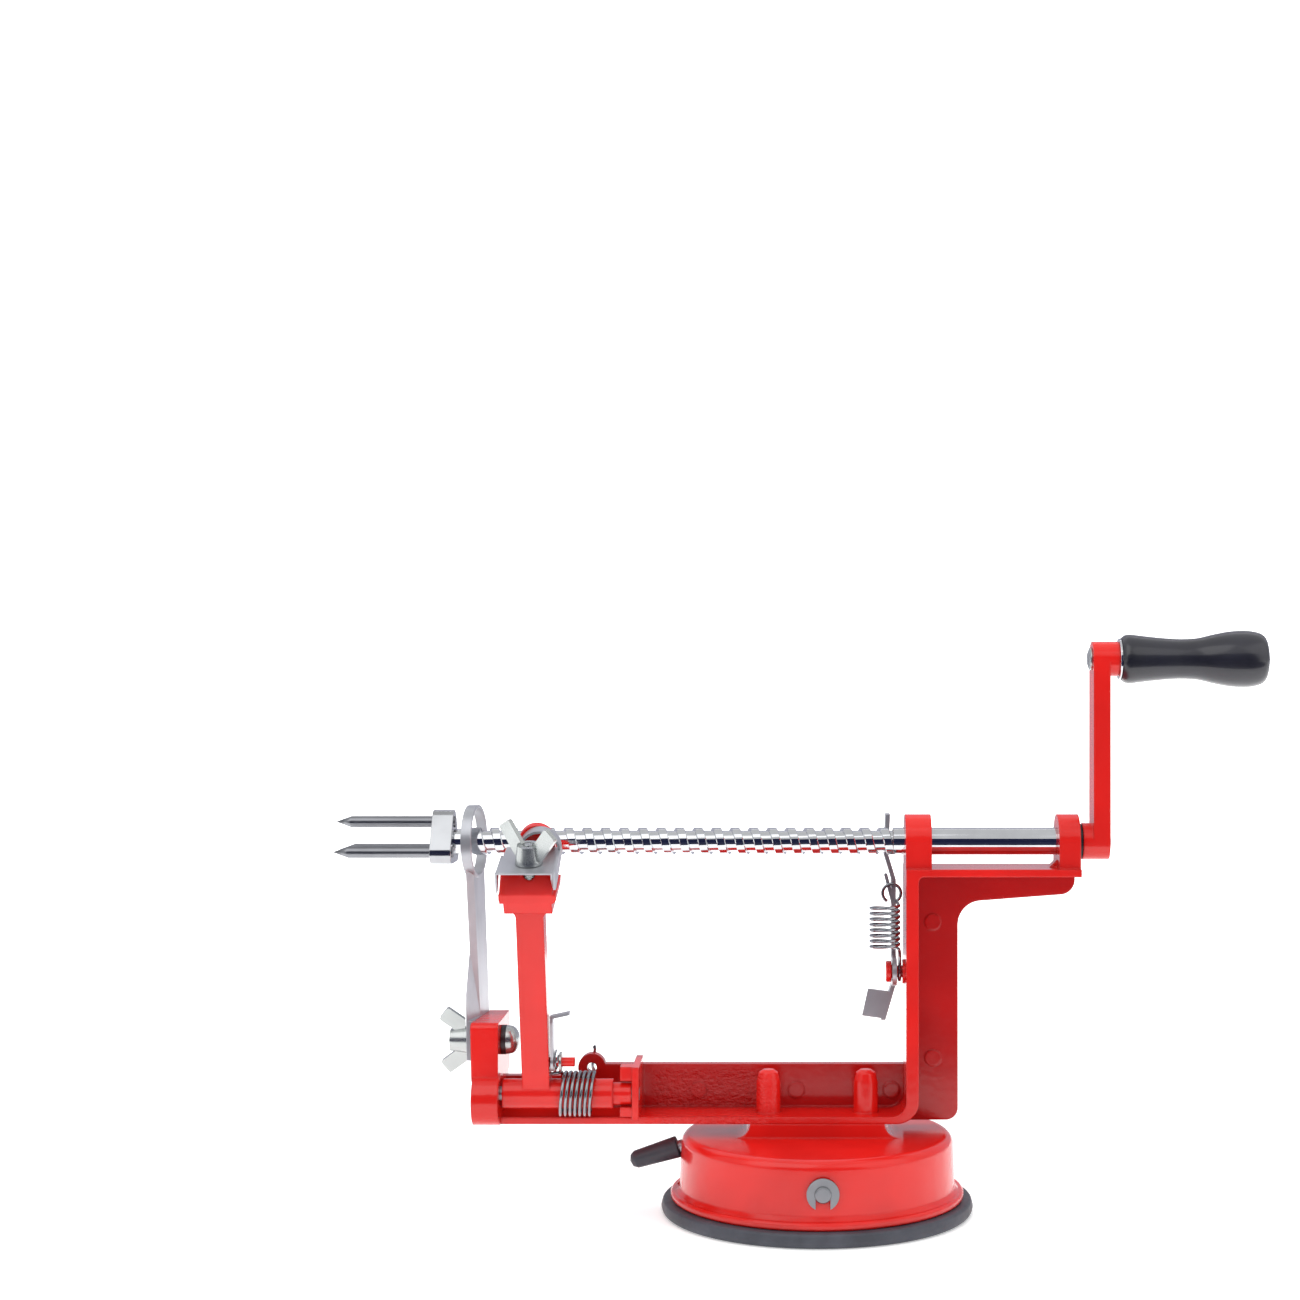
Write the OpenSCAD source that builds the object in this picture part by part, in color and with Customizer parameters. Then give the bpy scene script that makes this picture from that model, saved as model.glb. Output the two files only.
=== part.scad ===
// Hand cranked apple peeler, corer and slicer on a suction base, in millimetres.
// +X points to the crank, +Z up, and the viewer stands at -Y.
// The origin is the middle of the rubber pad's underside.

/* [Suction base] */
// Diameter of the rubber pad
pad_d = 102.5; // [99:0.5:110]
// Thickness of the rubber pad
pad_t = 4.8; // [4.4:0.1:5.6]
// Diameter of the housing's wall
housing_d = 90.5; // [86:0.5:95]
// Diameter of the housing's bottom flange
housing_flange_d = 96.4; // [95:0.2:98.5]
// Height of the housing's bottom flange
housing_flange_t = 2.6; // [2:0.1:4]
// Height of the housing above the pad
housing_h = 20.9; // [20.5:0.1:23]
// Wall thickness of the housing
housing_wall = 2.4; // [1.8:0.1:2.8]
// Height of the pedestal above the housing
pedestal_h = 4.6; // [3:0.1:8]
// Length of the pedestal's top
pedestal_l = 43.6; // [40:0.2:46]

/* [Frame casting] */
// Distance from the base's middle to the left lug's right face
lug_reach = 103.3; // [98:0.1:110]
// Thickness of the left lug at its middle
lug_t = 7.45; // [6:0.05:9]
// Depth of the left lug
lug_depth = 30; // [27:0.5:32]
// Height of the left lug above the bed
lug_h = 33.3; // [32:0.1:38]
// Depth of the frame's flanges
flange_depth = 22; // [20:0.5:24]
// Thickness of the bed's flange
bed_flange_t = 2.2; // [1.8:0.1:3]
// Thickness of the web
web_t = 4; // [3:0.1:5]
// Height of the bed's web above the bed's underside
bed_web_h = 16.3; // [15:0.1:17]
// Distance from the base's middle to the column
column_reach = 28.9; // [28:0.1:34]
// Thickness of the column's flange
column_flange_t = 4.1; // [3:0.1:4.5]
// Width of the column
column_w = 18.1; // [15:0.1:20]
// Length of the arm from the column's left face
arm_l = 57.1; // [50:0.1:62]
// Thickness of the arm's flange
arm_flange_t = 2.5; // [2:0.1:3.5]
// Depth of the arm's web below its top
arm_web_h = 10; // [8.5:0.1:12]
// Height of the arm's top below the shaft's axis
arm_drop = 8.4; // [7.8:0.1:9.5]
// Outer radius of the shaft bearings
bearing_r = 8.9; // [7.5:0.1:10]
// Length of the left bearing
left_bearing_l = 8.5; // [6:0.1:9]
// Length of the right bearing
right_bearing_l = 7; // [6:0.1:9]
// Half the distance between the two screw posts
post_offset = 16; // [13:0.1:17]
// Diameter of the screw posts
post_d = 8; // [7.6:0.1:9]
// Height of the screw posts above the bed's underside
post_h = 16.2; // [15:0.1:18]

/* [Feed shaft] */
// Height of the shaft's axis above the table
shaft_z = 121.4; // [119:0.1:126]
// Diameter of the shaft
shaft_d = 9; // [8.4:0.1:10]
// Depth of the thread
thread_depth = 1; // [0.8:0.05:1.1]
// Pitch of the thread
thread_pitch = 6.1; // [5.6:0.05:6.6]
// Width of the thread's crest
thread_crest = 2.9; // [2.5:0.05:3.1]
// Length of the thread
thread_l = 136; // [130:0.5:138]
// Diameter of the neck behind the fork
neck_d = 8; // [7:0.1:8.3]
// Length of the neck
neck_l = 8.5; // [6:0.1:10]

/* [Fork] */
// Length of the fork's hub
hub_l = 7; // [5:0.1:9]
// Distance from the shaft's axis to each tine
tine_offset = 6.4; // [6:0.1:6.6]
// Diameter of the tines
tine_d = 3.8; // [3:0.1:4]
// Length of the tines ahead of the hub
tine_l = 32.2; // [28:0.2:38]
// Length of the tines' points
tine_point_l = 5.2; // [4:0.1:7]
// Wall of the hub outside each tine
hub_margin = 2; // [1.6:0.1:2.1]

/* [Crank and grip] */
// Distance from the shaft's axis to the grip's axis
crank_throw = 60.1; // [50:0.1:68]
// Thickness of the crank's arm
crank_t = 5.5; // [4.5:0.1:7]
// Diameter of the crank's lower end
crank_hub_d = 12; // [11:0.1:14]
// Diameter of the crank's upper end
crank_end_d = 11.4; // [10:0.1:13]
// Length of the crank's boss towards the frame
crank_boss_l = 3.3; // [2.5:0.1:4]
// Length of the crank's boss towards the grip
grip_boss_l = 3.3; // [2:0.1:5]
// Length of the grip
grip_l = 48.6; // [44:0.2:56]
// Diameter of the grip at its bulb
grip_bulb_d = 18.7; // [17:0.1:21]
// Diameter of the grip at its waist
grip_waist_d = 13.2; // [12:0.1:15]
// Diameter of the grip at the crank's end
grip_end_d = 16.2; // [15:0.1:18]
// Diameter of the grip's spindle
spindle_d = 6; // [5:0.1:7]

/* [Peeling arm] */
// Height of the arm's axis above the table
arm_z = 40.4; // [40.4:0.1:41.5]
// Distance of the arm's axis in front of the shaft
arm_forward = 11.6; // [10.5:0.1:12.5]
// Lean of the arm towards the viewer, in degrees
arm_lean = 17; // [14:0.5:20]
// Diameter of the arm's tube
tube_d = 9.6; // [8.6:0.1:9.8]
// Width of the upright
upright_w = 8.8; // [8:0.1:10]
// Depth of the upright
upright_depth = 7; // [6:0.1:8]
// Distance from the lug to the upright
upright_inset = 8; // [7:0.1:9]
// Length of the upright from the arm's axis to its head
upright_l = 72.6; // [68:0.2:74]
// Width of the arm's head
head_w = 18; // [17:0.1:20]
// Width of the seat under the blade's bracket
seat_w = 16.6; // [15.5:0.1:17]
// Diameter of the arm's pin
arm_pin_d = 4.4; // [4:0.1:5]

/* [Blades] */
// Inner diameter of the coring ring
ring_bore = 21.9; // [21.7:0.1:23]
// Thickness of the coring ring
ring_t = 1; // [0.8:0.1:1.4]
// Length of the coring ring along the shaft
ring_l = 3.4; // [2.4:0.1:3.8]
// Thickness of the slicing blade
strip_t = 2; // [1.5:0.1:2.4]
// Width of the slicing blade at the ring
strip_top_w = 18; // [16:0.5:20]
// Width of the slicing blade at its clamp
strip_bottom_w = 25; // [22:0.5:28]
// Turn of the slicing blade about the upright axis, in degrees
blade_turn = 5.5; // [3:0.5:6]
// Lean of the slicing blade away from the apple, in degrees
blade_lean = 1.2; // [0.8:0.1:1.5]
// Length of the peeling blade's bracket
bracket_l = 22; // [20:0.5:22]
// Thickness of the bracket's steel
bracket_t = 0.6; // [0.5:0.1:0.8]
// Depth of the bevel at the foot of the slicing blade
bevel_w = 12; // [8:0.5:14]

/* [Fasteners] */
// Diameter of the wing nuts' bolts
bolt_d = 4; // [3.5:0.1:4.5]
// Diameter of the wing nuts' hubs
nut_hub_d = 8; // [7.4:0.1:9]
// Height of the wing nuts' hubs
nut_hub_h = 6; // [4:0.1:7]
// Spread of the wings from tip to tip
wing_span = 23; // [20:0.5:26]
// Height of the wings above the nut's seat
wing_h = 13; // [11:0.5:15]
// Height of the wings of the slicing blade's nut
low_wing_h = 9.5; // [8:0.5:12]
// Thickness of the wings
wing_t = 1.6; // [1.2:0.1:2]

/* [Thread release] */
// Thickness of the release lever's steel
finger_t = 1.5; // [1.2:0.1:1.6]
// Depth of the release lever's strip
finger_depth = 7; // [6:0.1:8]
// Height of the release stud above the table
stud_z = 78.4; // [76:0.1:82]
// Diameter of the release stud's neck
stud_neck_d = 4; // [3.4:0.1:4.4]
// Diameter of the release stud's head
stud_head_d = 7; // [6.4:0.1:8]

/* [Springs] */
// Wire of the two large springs
spring_wire = 1.1; // [0.9:0.05:1.15]
// Outer diameter of the arm's spring
arm_spring_d = 15; // [14:0.1:15.2]
// Number of coils in the arm's spring
arm_spring_coils = 7; // [6:1:7]
// Outer diameter of the release spring
release_spring_d = 10.4; // [9.5:0.1:10.8]
// Number of coils in the release spring
release_spring_coils = 8; // [6:1:9]

/* [Hidden] */
$fn = 64;

// Colours of the finishes
red_enamel = "#D8201C";
dark_rubber = "#45474F";
black_gloss = "#2E2E3A";
bright_chrome = "#D9DBE0";
satin_steel = "#B4B6BA";
zinc_plate = "#C9CCCB";
dark_steel = "#6A6664";

// Fits between pieces
running_fit = 0.05;
press_fit = 0.02;
soft_gap = 0.3;
end_play = 0.2;
overrun = 1;
overlap = 0.4;

// Levels and reaches shared by several pieces
housing_z = pad_t;
housing_top_z = housing_z + housing_h;
bed_z = housing_top_z + pedestal_h;
bed_flange_z = bed_z + bed_flange_t;
flange_half = flange_depth / 2;
web_y = flange_half - web_t;
lug_right_x = -lug_reach;
lug_face_x = lug_right_x - lug_t;
column_x = column_reach;
column_flange_x = column_x + column_flange_t;
column_right_x = column_x + column_w;
arm_right_x = column_x + arm_l;
arm_top_z = shaft_z - arm_drop;
arm_flange_z = arm_top_z - arm_flange_t;

// Shapes shared by several pieces

// Round bar along X from x0 to x1
module bar_x(x0, x1, d) {
  translate([x0, 0, 0]) rotate([0, 90, 0]) cylinder(d=d, h=x1 - x0);
}

// Round bar along Y from y0 to y1
module bar_y(y0, y1, d) {
  translate([0, y1, 0]) rotate([90, 0, 0]) cylinder(d=d, h=y1 - y0);
}

// Outline drawn in Y and Z, given thickness along X from x0 to x1
module plate_x(x0, x1) {
  translate([x0, 0, 0]) rotate([90, 0, 90]) linear_extrude(x1 - x0) children();
}

// Outline drawn in X and Z, given thickness along Y from y0 to y1
module plate_y(y0, y1) {
  translate([0, y1, 0]) rotate([90, 0, 0]) linear_extrude(y1 - y0) children();
}

// Box between two corners
module block(low, high) {
  translate(low) cube(high - low);
}

// Rectangle between two corners with round corners
module round_rect(low, high, r) {
  translate([low.x + r, low.y]) square([high.x - low.x - 2 * r, high.y - low.y]);
  translate([low.x, low.y + r]) square([high.x - low.x, high.y - low.y - 2 * r]);
  for (x = [low.x + r, high.x - r], y = [low.y + r, high.y - r])
    translate([x, y]) circle(r);
}

// Bar of width w between two points, with round ends
module link(a, b, w) {
  run = b - a;
  translate(a) rotate(atan2(run.y, run.x)) translate([0, -w / 2]) square([norm(run), w]);
  translate(a) circle(d=w);
  translate(b) circle(d=w);
}

// Solid turned about X, drawn as points of [distance along X, radius]
module turned_x(points) {
  rotate([0, 90, 0]) rotate_extrude() polygon([for (p = points) [p[1], p[0]]]);
}

// Wound wire

// One unbroken round wire swept along a path, as one mesh
wire_sides = 6;
curl_rings = 8;
function unit(v) = v / norm(v);
function tangents(path) = [for (i = [0:len(path) - 1])
  unit(path[min(i + 1, len(path) - 1)] - path[max(i - 1, 0)])];
function flat_to(v, t) = unit(v - t * (v * t));
function normals(t, first) = [for (i = 0, n = flat_to(first, t[0]); i < len(t);
  i = i + 1, n = i < len(t) ? flat_to(n, t[i]) : n) n];
module wire(path, d, first) {
  t = tangents(path);
  n = normals(t, first);
  rings = len(path);
  points = [for (i = [0:rings - 1], k = [0:wire_sides - 1])
    let (a = 360 * k / wire_sides)
    path[i] + d / 2 * (cos(a) * n[i] + sin(a) * cross(t[i], n[i]))];
  walls = [for (i = [0:rings - 2], k = [0:wire_sides - 1])
    let (a = i * wire_sides + k, b = i * wire_sides + (k + 1) % wire_sides)
    each [[a, a + wire_sides, b + wire_sides], [a, b + wire_sides, b]]];
  last = (rings - 1) * wire_sides;
  ends = [for (k = [1:wire_sides - 2]) each [[0, k, k + 1], [last, last + k + 1, last + k]]];
  polyhedron(points=points, faces=concat(walls, ends), convexity=10);
}

// Least clear gap of a wire to itself, between rings at least half a curl apart
function least_gap(path, d) = min([for (i = [0:len(path) - 1], j = [i + curl_rings / 2:len(path) - 1])
  if (j < len(path)) norm(path[i] - path[j])]) - d;

// Frame casting

bed_low_step = 3.9;
inner_corner_r = 5;
outer_corner_r = 7.2;
web_corner_r = 4;
flange_fillet_r = 1.8;
web_fillet_r = 8;
arm_corner_r = 5;
arm_web_rise = 2;
column_drop = 2.3;
post_y = -2;
post_shoulder_h = 12.1;
post_tip_d = 6.4;
post_dome_h = 0.9;
screw_d = 4;
screw_bore_h = 12;
lug_corner_r = 2;
lug_step_h = 13.7;
arm_boss_d = 16.6;
arm_boss_rise = 0.5;
boss_out = 0.7;
shoulder_rise = 0.8;
shoulder_angle = 35;
pin_bore_l = 6.5;
pin_wall_t = 2.2;
pin_wall_h = 17;
pin_wall_front = 4;
tab_l = 3.9;
tab_gap_high = 1;
tab_gap_low = 0.4;
tab_low_h = 3;
tab_depth = 6;
spring_lug_in = 28.4;
spring_lug_x = lug_right_x + spring_lug_in;
spring_lug_rise = 5;
spring_lug_z = arm_z + spring_lug_rise;
spring_lug_r = 4.6;
spring_lug_bore = 3.2;
stud_boss_d = 8;
stud_boss_l = 0.8;
nub_l = 3;
nub_r = 2.6;
mark_d = 5.4;
mark_t = 0.4;
mark_rise = 7.7;
mark_z = bed_z + mark_rise;
first_mark_in = 64;
second_mark_in = 96.5;
third_mark_in = 128.1;
bed_marks = [for (in = [first_mark_in, second_mark_in, third_mark_in]) lug_right_x + in];
column_mark_in = 9.8;
column_mark_rise = 18.3;
high_mark_rise = 63.6;
column_marks = [for (rise = [column_mark_rise, high_mark_rise]) [column_x + column_mark_in, bed_z + rise]];
shaft_bore = shaft_d + 2 * running_fit;
tube_neck_l = 6;
tube_reach = 43.1;
tube_end_x = lug_right_x + tube_reach;
pin_wall_x = tube_end_x + end_play;

// Web seen from the front
module web_outline() {
  top = bed_z + bed_web_h;
  translate([lug_right_x - overlap, bed_z])
    square([spring_lug_x - lug_right_x + overlap, bed_web_h - bed_low_step]);
  translate([spring_lug_x, bed_z]) square([column_x - spring_lug_x + overlap, top - bed_z]);
  difference() {
    translate([column_x, bed_z - column_drop])
      square([column_w, arm_top_z - bed_z + column_drop]);
    translate([column_right_x - web_corner_r, bed_z - column_drop - overrun])
      square([web_corner_r + overrun, web_corner_r + overrun]);
  }
  translate([column_right_x - web_corner_r, bed_z - column_drop + web_corner_r])
    circle(web_corner_r);
  arm_web_outline();
}

// Arm's part of the web, with its fillet at the column and its round end
module arm_web_outline() {
  low = arm_top_z - arm_web_h;
  difference() {
    polygon([[column_right_x - overlap, arm_top_z], [arm_right_x, arm_top_z],
      [arm_right_x, low + arm_corner_r], [arm_right_x - arm_corner_r, low],
      [column_right_x + web_fillet_r, low - arm_web_rise],
      [column_right_x - overlap, low - arm_web_rise - web_fillet_r]]);
    translate([column_right_x + web_fillet_r, low - arm_web_rise - web_fillet_r])
      circle(web_fillet_r);
  }
  translate([arm_right_x - arm_corner_r, low + arm_corner_r]) circle(arm_corner_r);
}

// Flange that runs along the bed, up the column and out along the arm
module flange_outline() {
  bend = [column_x - inner_corner_r, bed_flange_z + inner_corner_r];
  translate([lug_right_x - overlap, bed_z])
    square([column_flange_x - outer_corner_r - lug_right_x + overlap, bed_flange_t]);
  difference() {
    union() {
      translate([column_flange_x - outer_corner_r, bed_z + outer_corner_r])
        circle(outer_corner_r);
      translate([bend.x, bed_flange_z]) square([inner_corner_r, inner_corner_r]);
    }
    translate(bend) circle(inner_corner_r);
    translate([bend.x - outer_corner_r, bed_z - overrun])
      square([outer_corner_r, 2 * outer_corner_r + overrun]);
    translate([bend.x - overrun, bend.y])
      square([column_flange_t + inner_corner_r + 2 * overrun, outer_corner_r + overrun]);
  }
  translate([column_x, bend.y]) square([column_flange_t, arm_top_z - bend.y]);
  translate([column_x, arm_flange_z]) square([arm_l, arm_flange_t]);
  difference() {
    translate([column_flange_x - overlap, arm_flange_z - flange_fillet_r])
      square([flange_fillet_r + overlap, flange_fillet_r + overlap]);
    translate([column_flange_x + flange_fillet_r, arm_flange_z - flange_fillet_r]) circle(flange_fillet_r);
  }
}

// Bearing lug with a round top, around the shaft
module bearing(x0, x1) {
  plate_x(x0, x1) {
    translate([0, shaft_z]) circle(bearing_r);
    translate([-bearing_r, arm_flange_z]) square([2 * bearing_r, arm_drop + arm_flange_t]);
  }
}

// Left lug, its boss for the arm's pin, and its sloping left face
module left_lug() {
  step_z = bed_z + lug_step_h;
  low_x = lug_face_x - 2 * web_t;
  boss_r = arm_boss_d / 2;
  boss_x0 = lug_face_x - boss_out;
  difference() {
    union() {
      difference() {
        plate_x(low_x, lug_right_x) {
          round_rect([-lug_depth / 2, step_z], [lug_depth / 2, bed_z + lug_h], lug_corner_r);
          translate([-arm_forward, bed_z]) square([flange_half + arm_forward, lug_step_h + lug_corner_r]);
        }
        blade_place() translate([-3 * web_t, -lug_depth, -2 * lug_depth])
          cube([3 * web_t, 2 * lug_depth, 4 * lug_depth]);
      }
      plate_x(boss_x0, lug_right_x) polygon([[-lug_depth / 2, step_z + shoulder_rise],
        [-arm_forward - boss_r * cos(shoulder_angle), bed_z + boss_r + boss_r * sin(shoulder_angle)],
        [-arm_forward, bed_z + boss_r], [-arm_forward + boss_r, step_z],
        [-arm_forward + boss_r, step_z + shoulder_rise]]);
      translate([0, -arm_forward, bed_z + boss_r])
        bar_x(boss_x0, lug_right_x + arm_boss_rise, arm_boss_d);
    }
    translate([0, clamp_y, clamp_z])
      bar_x(low_x - overrun, lug_right_x + overrun, bolt_d + 2 * running_fit);
    translate([0, -arm_forward, arm_z])
      bar_x(lug_right_x + arm_boss_rise - pin_bore_l, lug_right_x + 2 * overrun, arm_pin_d + 2 * press_fit);
  }
}

// Wall and two tabs that hold the right end of the arm's tube
module pin_bracket() {
  wall_x1 = pin_wall_x + pin_wall_t;
  front = -arm_forward - pin_wall_front;
  difference() {
    union() {
      block([pin_wall_x, front, bed_flange_z], [wall_x1, web_y + overlap, bed_flange_z + pin_wall_h]);
      block([pin_wall_x, -flange_half, bed_z + overlap], [wall_x1, web_y, bed_flange_z + overlap]);
      for (z = [[arm_z + tube_neck_d / 2 + tab_gap_high, bed_flange_z + pin_wall_h],
        [arm_z - tube_neck_d / 2 - tab_gap_low - tab_low_h, arm_z - tube_neck_d / 2 - tab_gap_low]])
        translate([0, -arm_forward, 0]) block([pin_wall_x - tab_l, -tab_depth / 2, z[0]],
          [pin_wall_x + overlap, tab_depth / 2, z[1]]);
    }
    translate([0, -arm_forward, arm_z])
      bar_x(pin_wall_x - overrun, wall_x1 + overrun, arm_pin_d + 2 * press_fit);
  }
}

module screw_post(x) {
  translate([x, post_y, bed_z]) difference() {
    union() {
      cylinder(d=post_d, h=post_shoulder_h);
      translate([0, 0, post_shoulder_h])
        cylinder(d1=post_d, d2=post_tip_d, h=post_h - post_shoulder_h - post_dome_h);
      translate([0, 0, post_h - post_dome_h])
        cylinder(d1=post_tip_d, d2=post_tip_d - 3 * post_dome_h, h=post_dome_h);
    }
    translate([0, 0, -overrun])
      cylinder(d=screw_d + 2 * press_fit, h=screw_bore_h + overrun);
  }
}

module frame() {
  color(red_enamel) difference() {
    union() {
      plate_y(web_y, flange_half) web_outline();
      plate_y(-flange_half, web_y + overlap) flange_outline();
      bearing(column_x, column_x + left_bearing_l);
      bearing(arm_right_x - right_bearing_l, arm_right_x);
      left_lug();
      pin_bracket();
      for (side = [-1, 1]) screw_post(side * post_offset);
      plate_y(web_y, flange_half) difference() {
        translate([spring_lug_x, spring_lug_z]) circle(spring_lug_r);
        translate([spring_lug_x, spring_lug_z]) circle(d=spring_lug_bore);
      }
      translate([arm_right_x - right_bearing_l, 0, arm_top_z]) rotate([0, 0, 90])
        plate_x(-nub_r, nub_r) polygon([[0, -overlap], [nub_l, -overlap], [0, nub_r]]);
      for (x = bed_marks)
        translate([x, 0, mark_z]) bar_y(web_y - mark_t, web_y + overlap, mark_d);
      for (p = column_marks)
        translate([p.x, 0, p.y]) bar_y(web_y - mark_t, web_y + overlap, mark_d);
      translate([0, 0, stud_z]) bar_x(column_x - stud_boss_l, column_x + overlap, stud_boss_d);
    }
    translate([0, 0, shaft_z]) bar_x(column_x - overrun, arm_right_x + overrun, shaft_bore);
    translate([0, 0, stud_z])
      bar_x(column_x - stud_boss_l - overrun, column_flange_x + overrun, stud_neck_d + 2 * press_fit);
    for (side = [-1, 1]) translate([side * post_offset, post_y, bed_z - overrun])
      cylinder(d=screw_d + 2 * press_fit, h=screw_bore_h + overrun);
    translate([spring_lug_x, 0, spring_lug_z])
      bar_y(web_y - overrun, flange_half + overrun, spring_lug_bore);
  }
}

// Suction base

pad_rim_in = 1.5;
pad_rim_z = 2.2;
plate_r = 15;
plate_t = 2;
plate_z = 2.1;
well_wall = 2;
well_rise = 3.4;
well_floor_z = 1.8;
well_top_z = pad_t + well_rise;
cam_x = 1.3;
cam_rise = 11;
cam_z = housing_z + cam_rise;
cam_pin_d = 5.3;
cam_pin_end = 1.9;
clip_t = 0.8;
clip_d = 10.2;
clip_mouth_w = 4.6;
clip_groove_d = 4.4;
housing_edge_r = 3;
housing_draft = 0.5;
pedestal_flare = 5;
screw_head_d = 7.6;
screw_head_t = 2.6;
screw_tip_gap = 0.6;
lever_hub_d = 10;
lever_w = 6;
lever_t = 4;
draw_arm = 7.5;
draw_angle = 4.75;
draw_pin_d = 3;
ear_t = 2.4;
ear_w = 6;
slot_low_z = housing_z + housing_flange_t;
slot_w = 8.4;
slot_h = 16.4;
sleeve_start = 0.4;
sleeve_l = 16;
sleeve_slope = 17;
sleeve_root_d = 7.2;
sleeve_tip_d = 5.8;
sleeve_bore_d = 4;
lever_root_rise = 15.9;
lever_root_z = housing_z + lever_root_rise;
lever_elbow_in = 2.6;

module suction_pad() {
  r = pad_d / 2;
  color(dark_rubber) rotate_extrude($fn=128) polygon([[0, 0], [r - pad_rim_in, 0],
    [r - pad_rim_in / 4, pad_rim_z / 3], [r, pad_rim_z], [r - pad_rim_in / 3, pad_t - pad_rim_in / 3],
    [r - pad_rim_in, pad_t], [plate_r + soft_gap + well_wall, pad_t],
    [plate_r + soft_gap + well_wall, well_top_z], [plate_r + soft_gap, well_top_z],
    [plate_r + soft_gap, well_floor_z], [0, well_floor_z]]);
}

module base_housing() {
  r = housing_d / 2;
  fr = housing_flange_d / 2;
  reach = max(r, fr) + overrun;
  color(red_enamel) difference() {
    union() {
      rotate_extrude($fn=128) {
        polygon([[0, housing_z], [fr - housing_flange_t / 4, housing_z],
          [fr, housing_z + housing_flange_t / 4], [fr, housing_z + housing_flange_t * 3 / 4],
          [fr - housing_flange_t / 4, housing_z + housing_flange_t],
          [r + housing_flange_t / 2, housing_z + housing_flange_t],
          [r, housing_z + housing_flange_t * 3 / 2],
          [r - housing_draft, housing_top_z - housing_edge_r],
          [r - housing_draft - housing_edge_r, housing_top_z], [0, housing_top_z]]);
        translate([r - housing_draft - housing_edge_r, housing_top_z - housing_edge_r])
          circle(housing_edge_r);
      }
      plate_y(-flange_half, flange_half) pedestal_outline();
    }
    translate([0, 0, -overrun]) rotate_extrude($fn=128) {
      polygon([[0, 0], [r - housing_wall, 0],
        [r - housing_wall - housing_draft, housing_top_z - housing_wall + overrun],
        [0, housing_top_z - housing_wall + overrun]]);
    }
    translate([cam_x, 0, cam_z]) bar_y(-reach, reach, cam_pin_d + 2 * press_fit);
    block([-reach, -slot_w / 2, slot_low_z], [-r / 2, slot_w / 2, slot_low_z + slot_h]);
    for (side = [-1, 1]) translate([side * post_offset, post_y, housing_z])
      cylinder(d=screw_d + 2 * press_fit, h=housing_h + pedestal_h + overrun);
  }
}

// Pedestal seen from the front, with its hollow flanks
module pedestal_outline() {
  half = pedestal_l / 2;
  difference() {
    translate([-half - pedestal_flare, housing_top_z - overlap])
      square([pedestal_l + 2 * pedestal_flare, pedestal_h + overlap]);
    for (side = [-1, 1])
      translate([side * (half + pedestal_flare), housing_top_z + pedestal_flare])
        circle(pedestal_flare);
  }
}

module base_screws() {
  top_z = bed_z + screw_bore_h - screw_tip_gap;
  seat_z = housing_top_z - housing_wall;
  color(zinc_plate) for (side = [-1, 1]) translate([side * post_offset, post_y, 0]) {
    translate([0, 0, seat_z - screw_head_t]) cylinder(d=screw_head_d, h=screw_head_t);
    translate([0, 0, seat_z - overlap]) cylinder(d=screw_d, h=top_z - seat_z + overlap);
  }
}

// Place of the draw pin, beside the cam pin
draw_x = cam_x + draw_arm * cos(draw_angle);
draw_z = cam_z - draw_arm * sin(draw_angle);
ear_in = lever_w / 2 + soft_gap;

module lift_stem() {
  color(satin_steel) difference() {
    union() {
      translate([0, 0, plate_z]) cylinder(r=plate_r, h=plate_t);
      for (side = [-1, 1])
        translate([0, side * (ear_in + ear_t / 2), 0]) plate_y(-ear_t / 2, ear_t / 2) {
          translate([draw_x - ear_w / 2, plate_z + plate_t / 2])
            square([ear_w, draw_z - plate_z - plate_t / 2]);
          translate([draw_x, draw_z]) circle(d=ear_w);
        }
    }
    translate([draw_x, 0, draw_z])
      bar_y(-ear_in - ear_t - overrun, ear_in + ear_t + overrun, draw_pin_d + 2 * running_fit);
  }
}

module cam_pin() {
  half = housing_d / 2 + cam_pin_end;
  groove = housing_d / 2 + soft_gap;
  color(zinc_plate) translate([cam_x, 0, cam_z]) rotate([90, 0, 0]) rotate_extrude()
    polygon([[0, -half], [cam_pin_d / 2 - overlap, -half], [cam_pin_d / 2, -half + overlap],
      [cam_pin_d / 2, -groove - clip_t], [clip_groove_d / 2, -groove - clip_t],
      [clip_groove_d / 2, -groove], [cam_pin_d / 2, -groove], [cam_pin_d / 2, groove],
      [clip_groove_d / 2, groove], [clip_groove_d / 2, groove + clip_t],
      [cam_pin_d / 2, groove + clip_t], [cam_pin_d / 2, half - overlap],
      [cam_pin_d / 2 - overlap, half], [0, half]]);
}

module cam_clips() {
  groove = housing_d / 2 + soft_gap;
  color(zinc_plate) for (y0 = [-groove - clip_t, groove])
    translate([cam_x, 0, cam_z]) plate_y(y0 + press_fit, y0 + clip_t - press_fit) difference() {
      circle(d=clip_d);
      circle(d=clip_groove_d + 2 * press_fit);
      translate([-clip_mouth_w / 2, -clip_d]) square([clip_mouth_w, clip_d]);
    }
}

module draw_pin() {
  reach = ear_in + ear_t + soft_gap;
  color(zinc_plate) translate([draw_x, 0, draw_z]) bar_y(-reach, reach, draw_pin_d);
}

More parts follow.
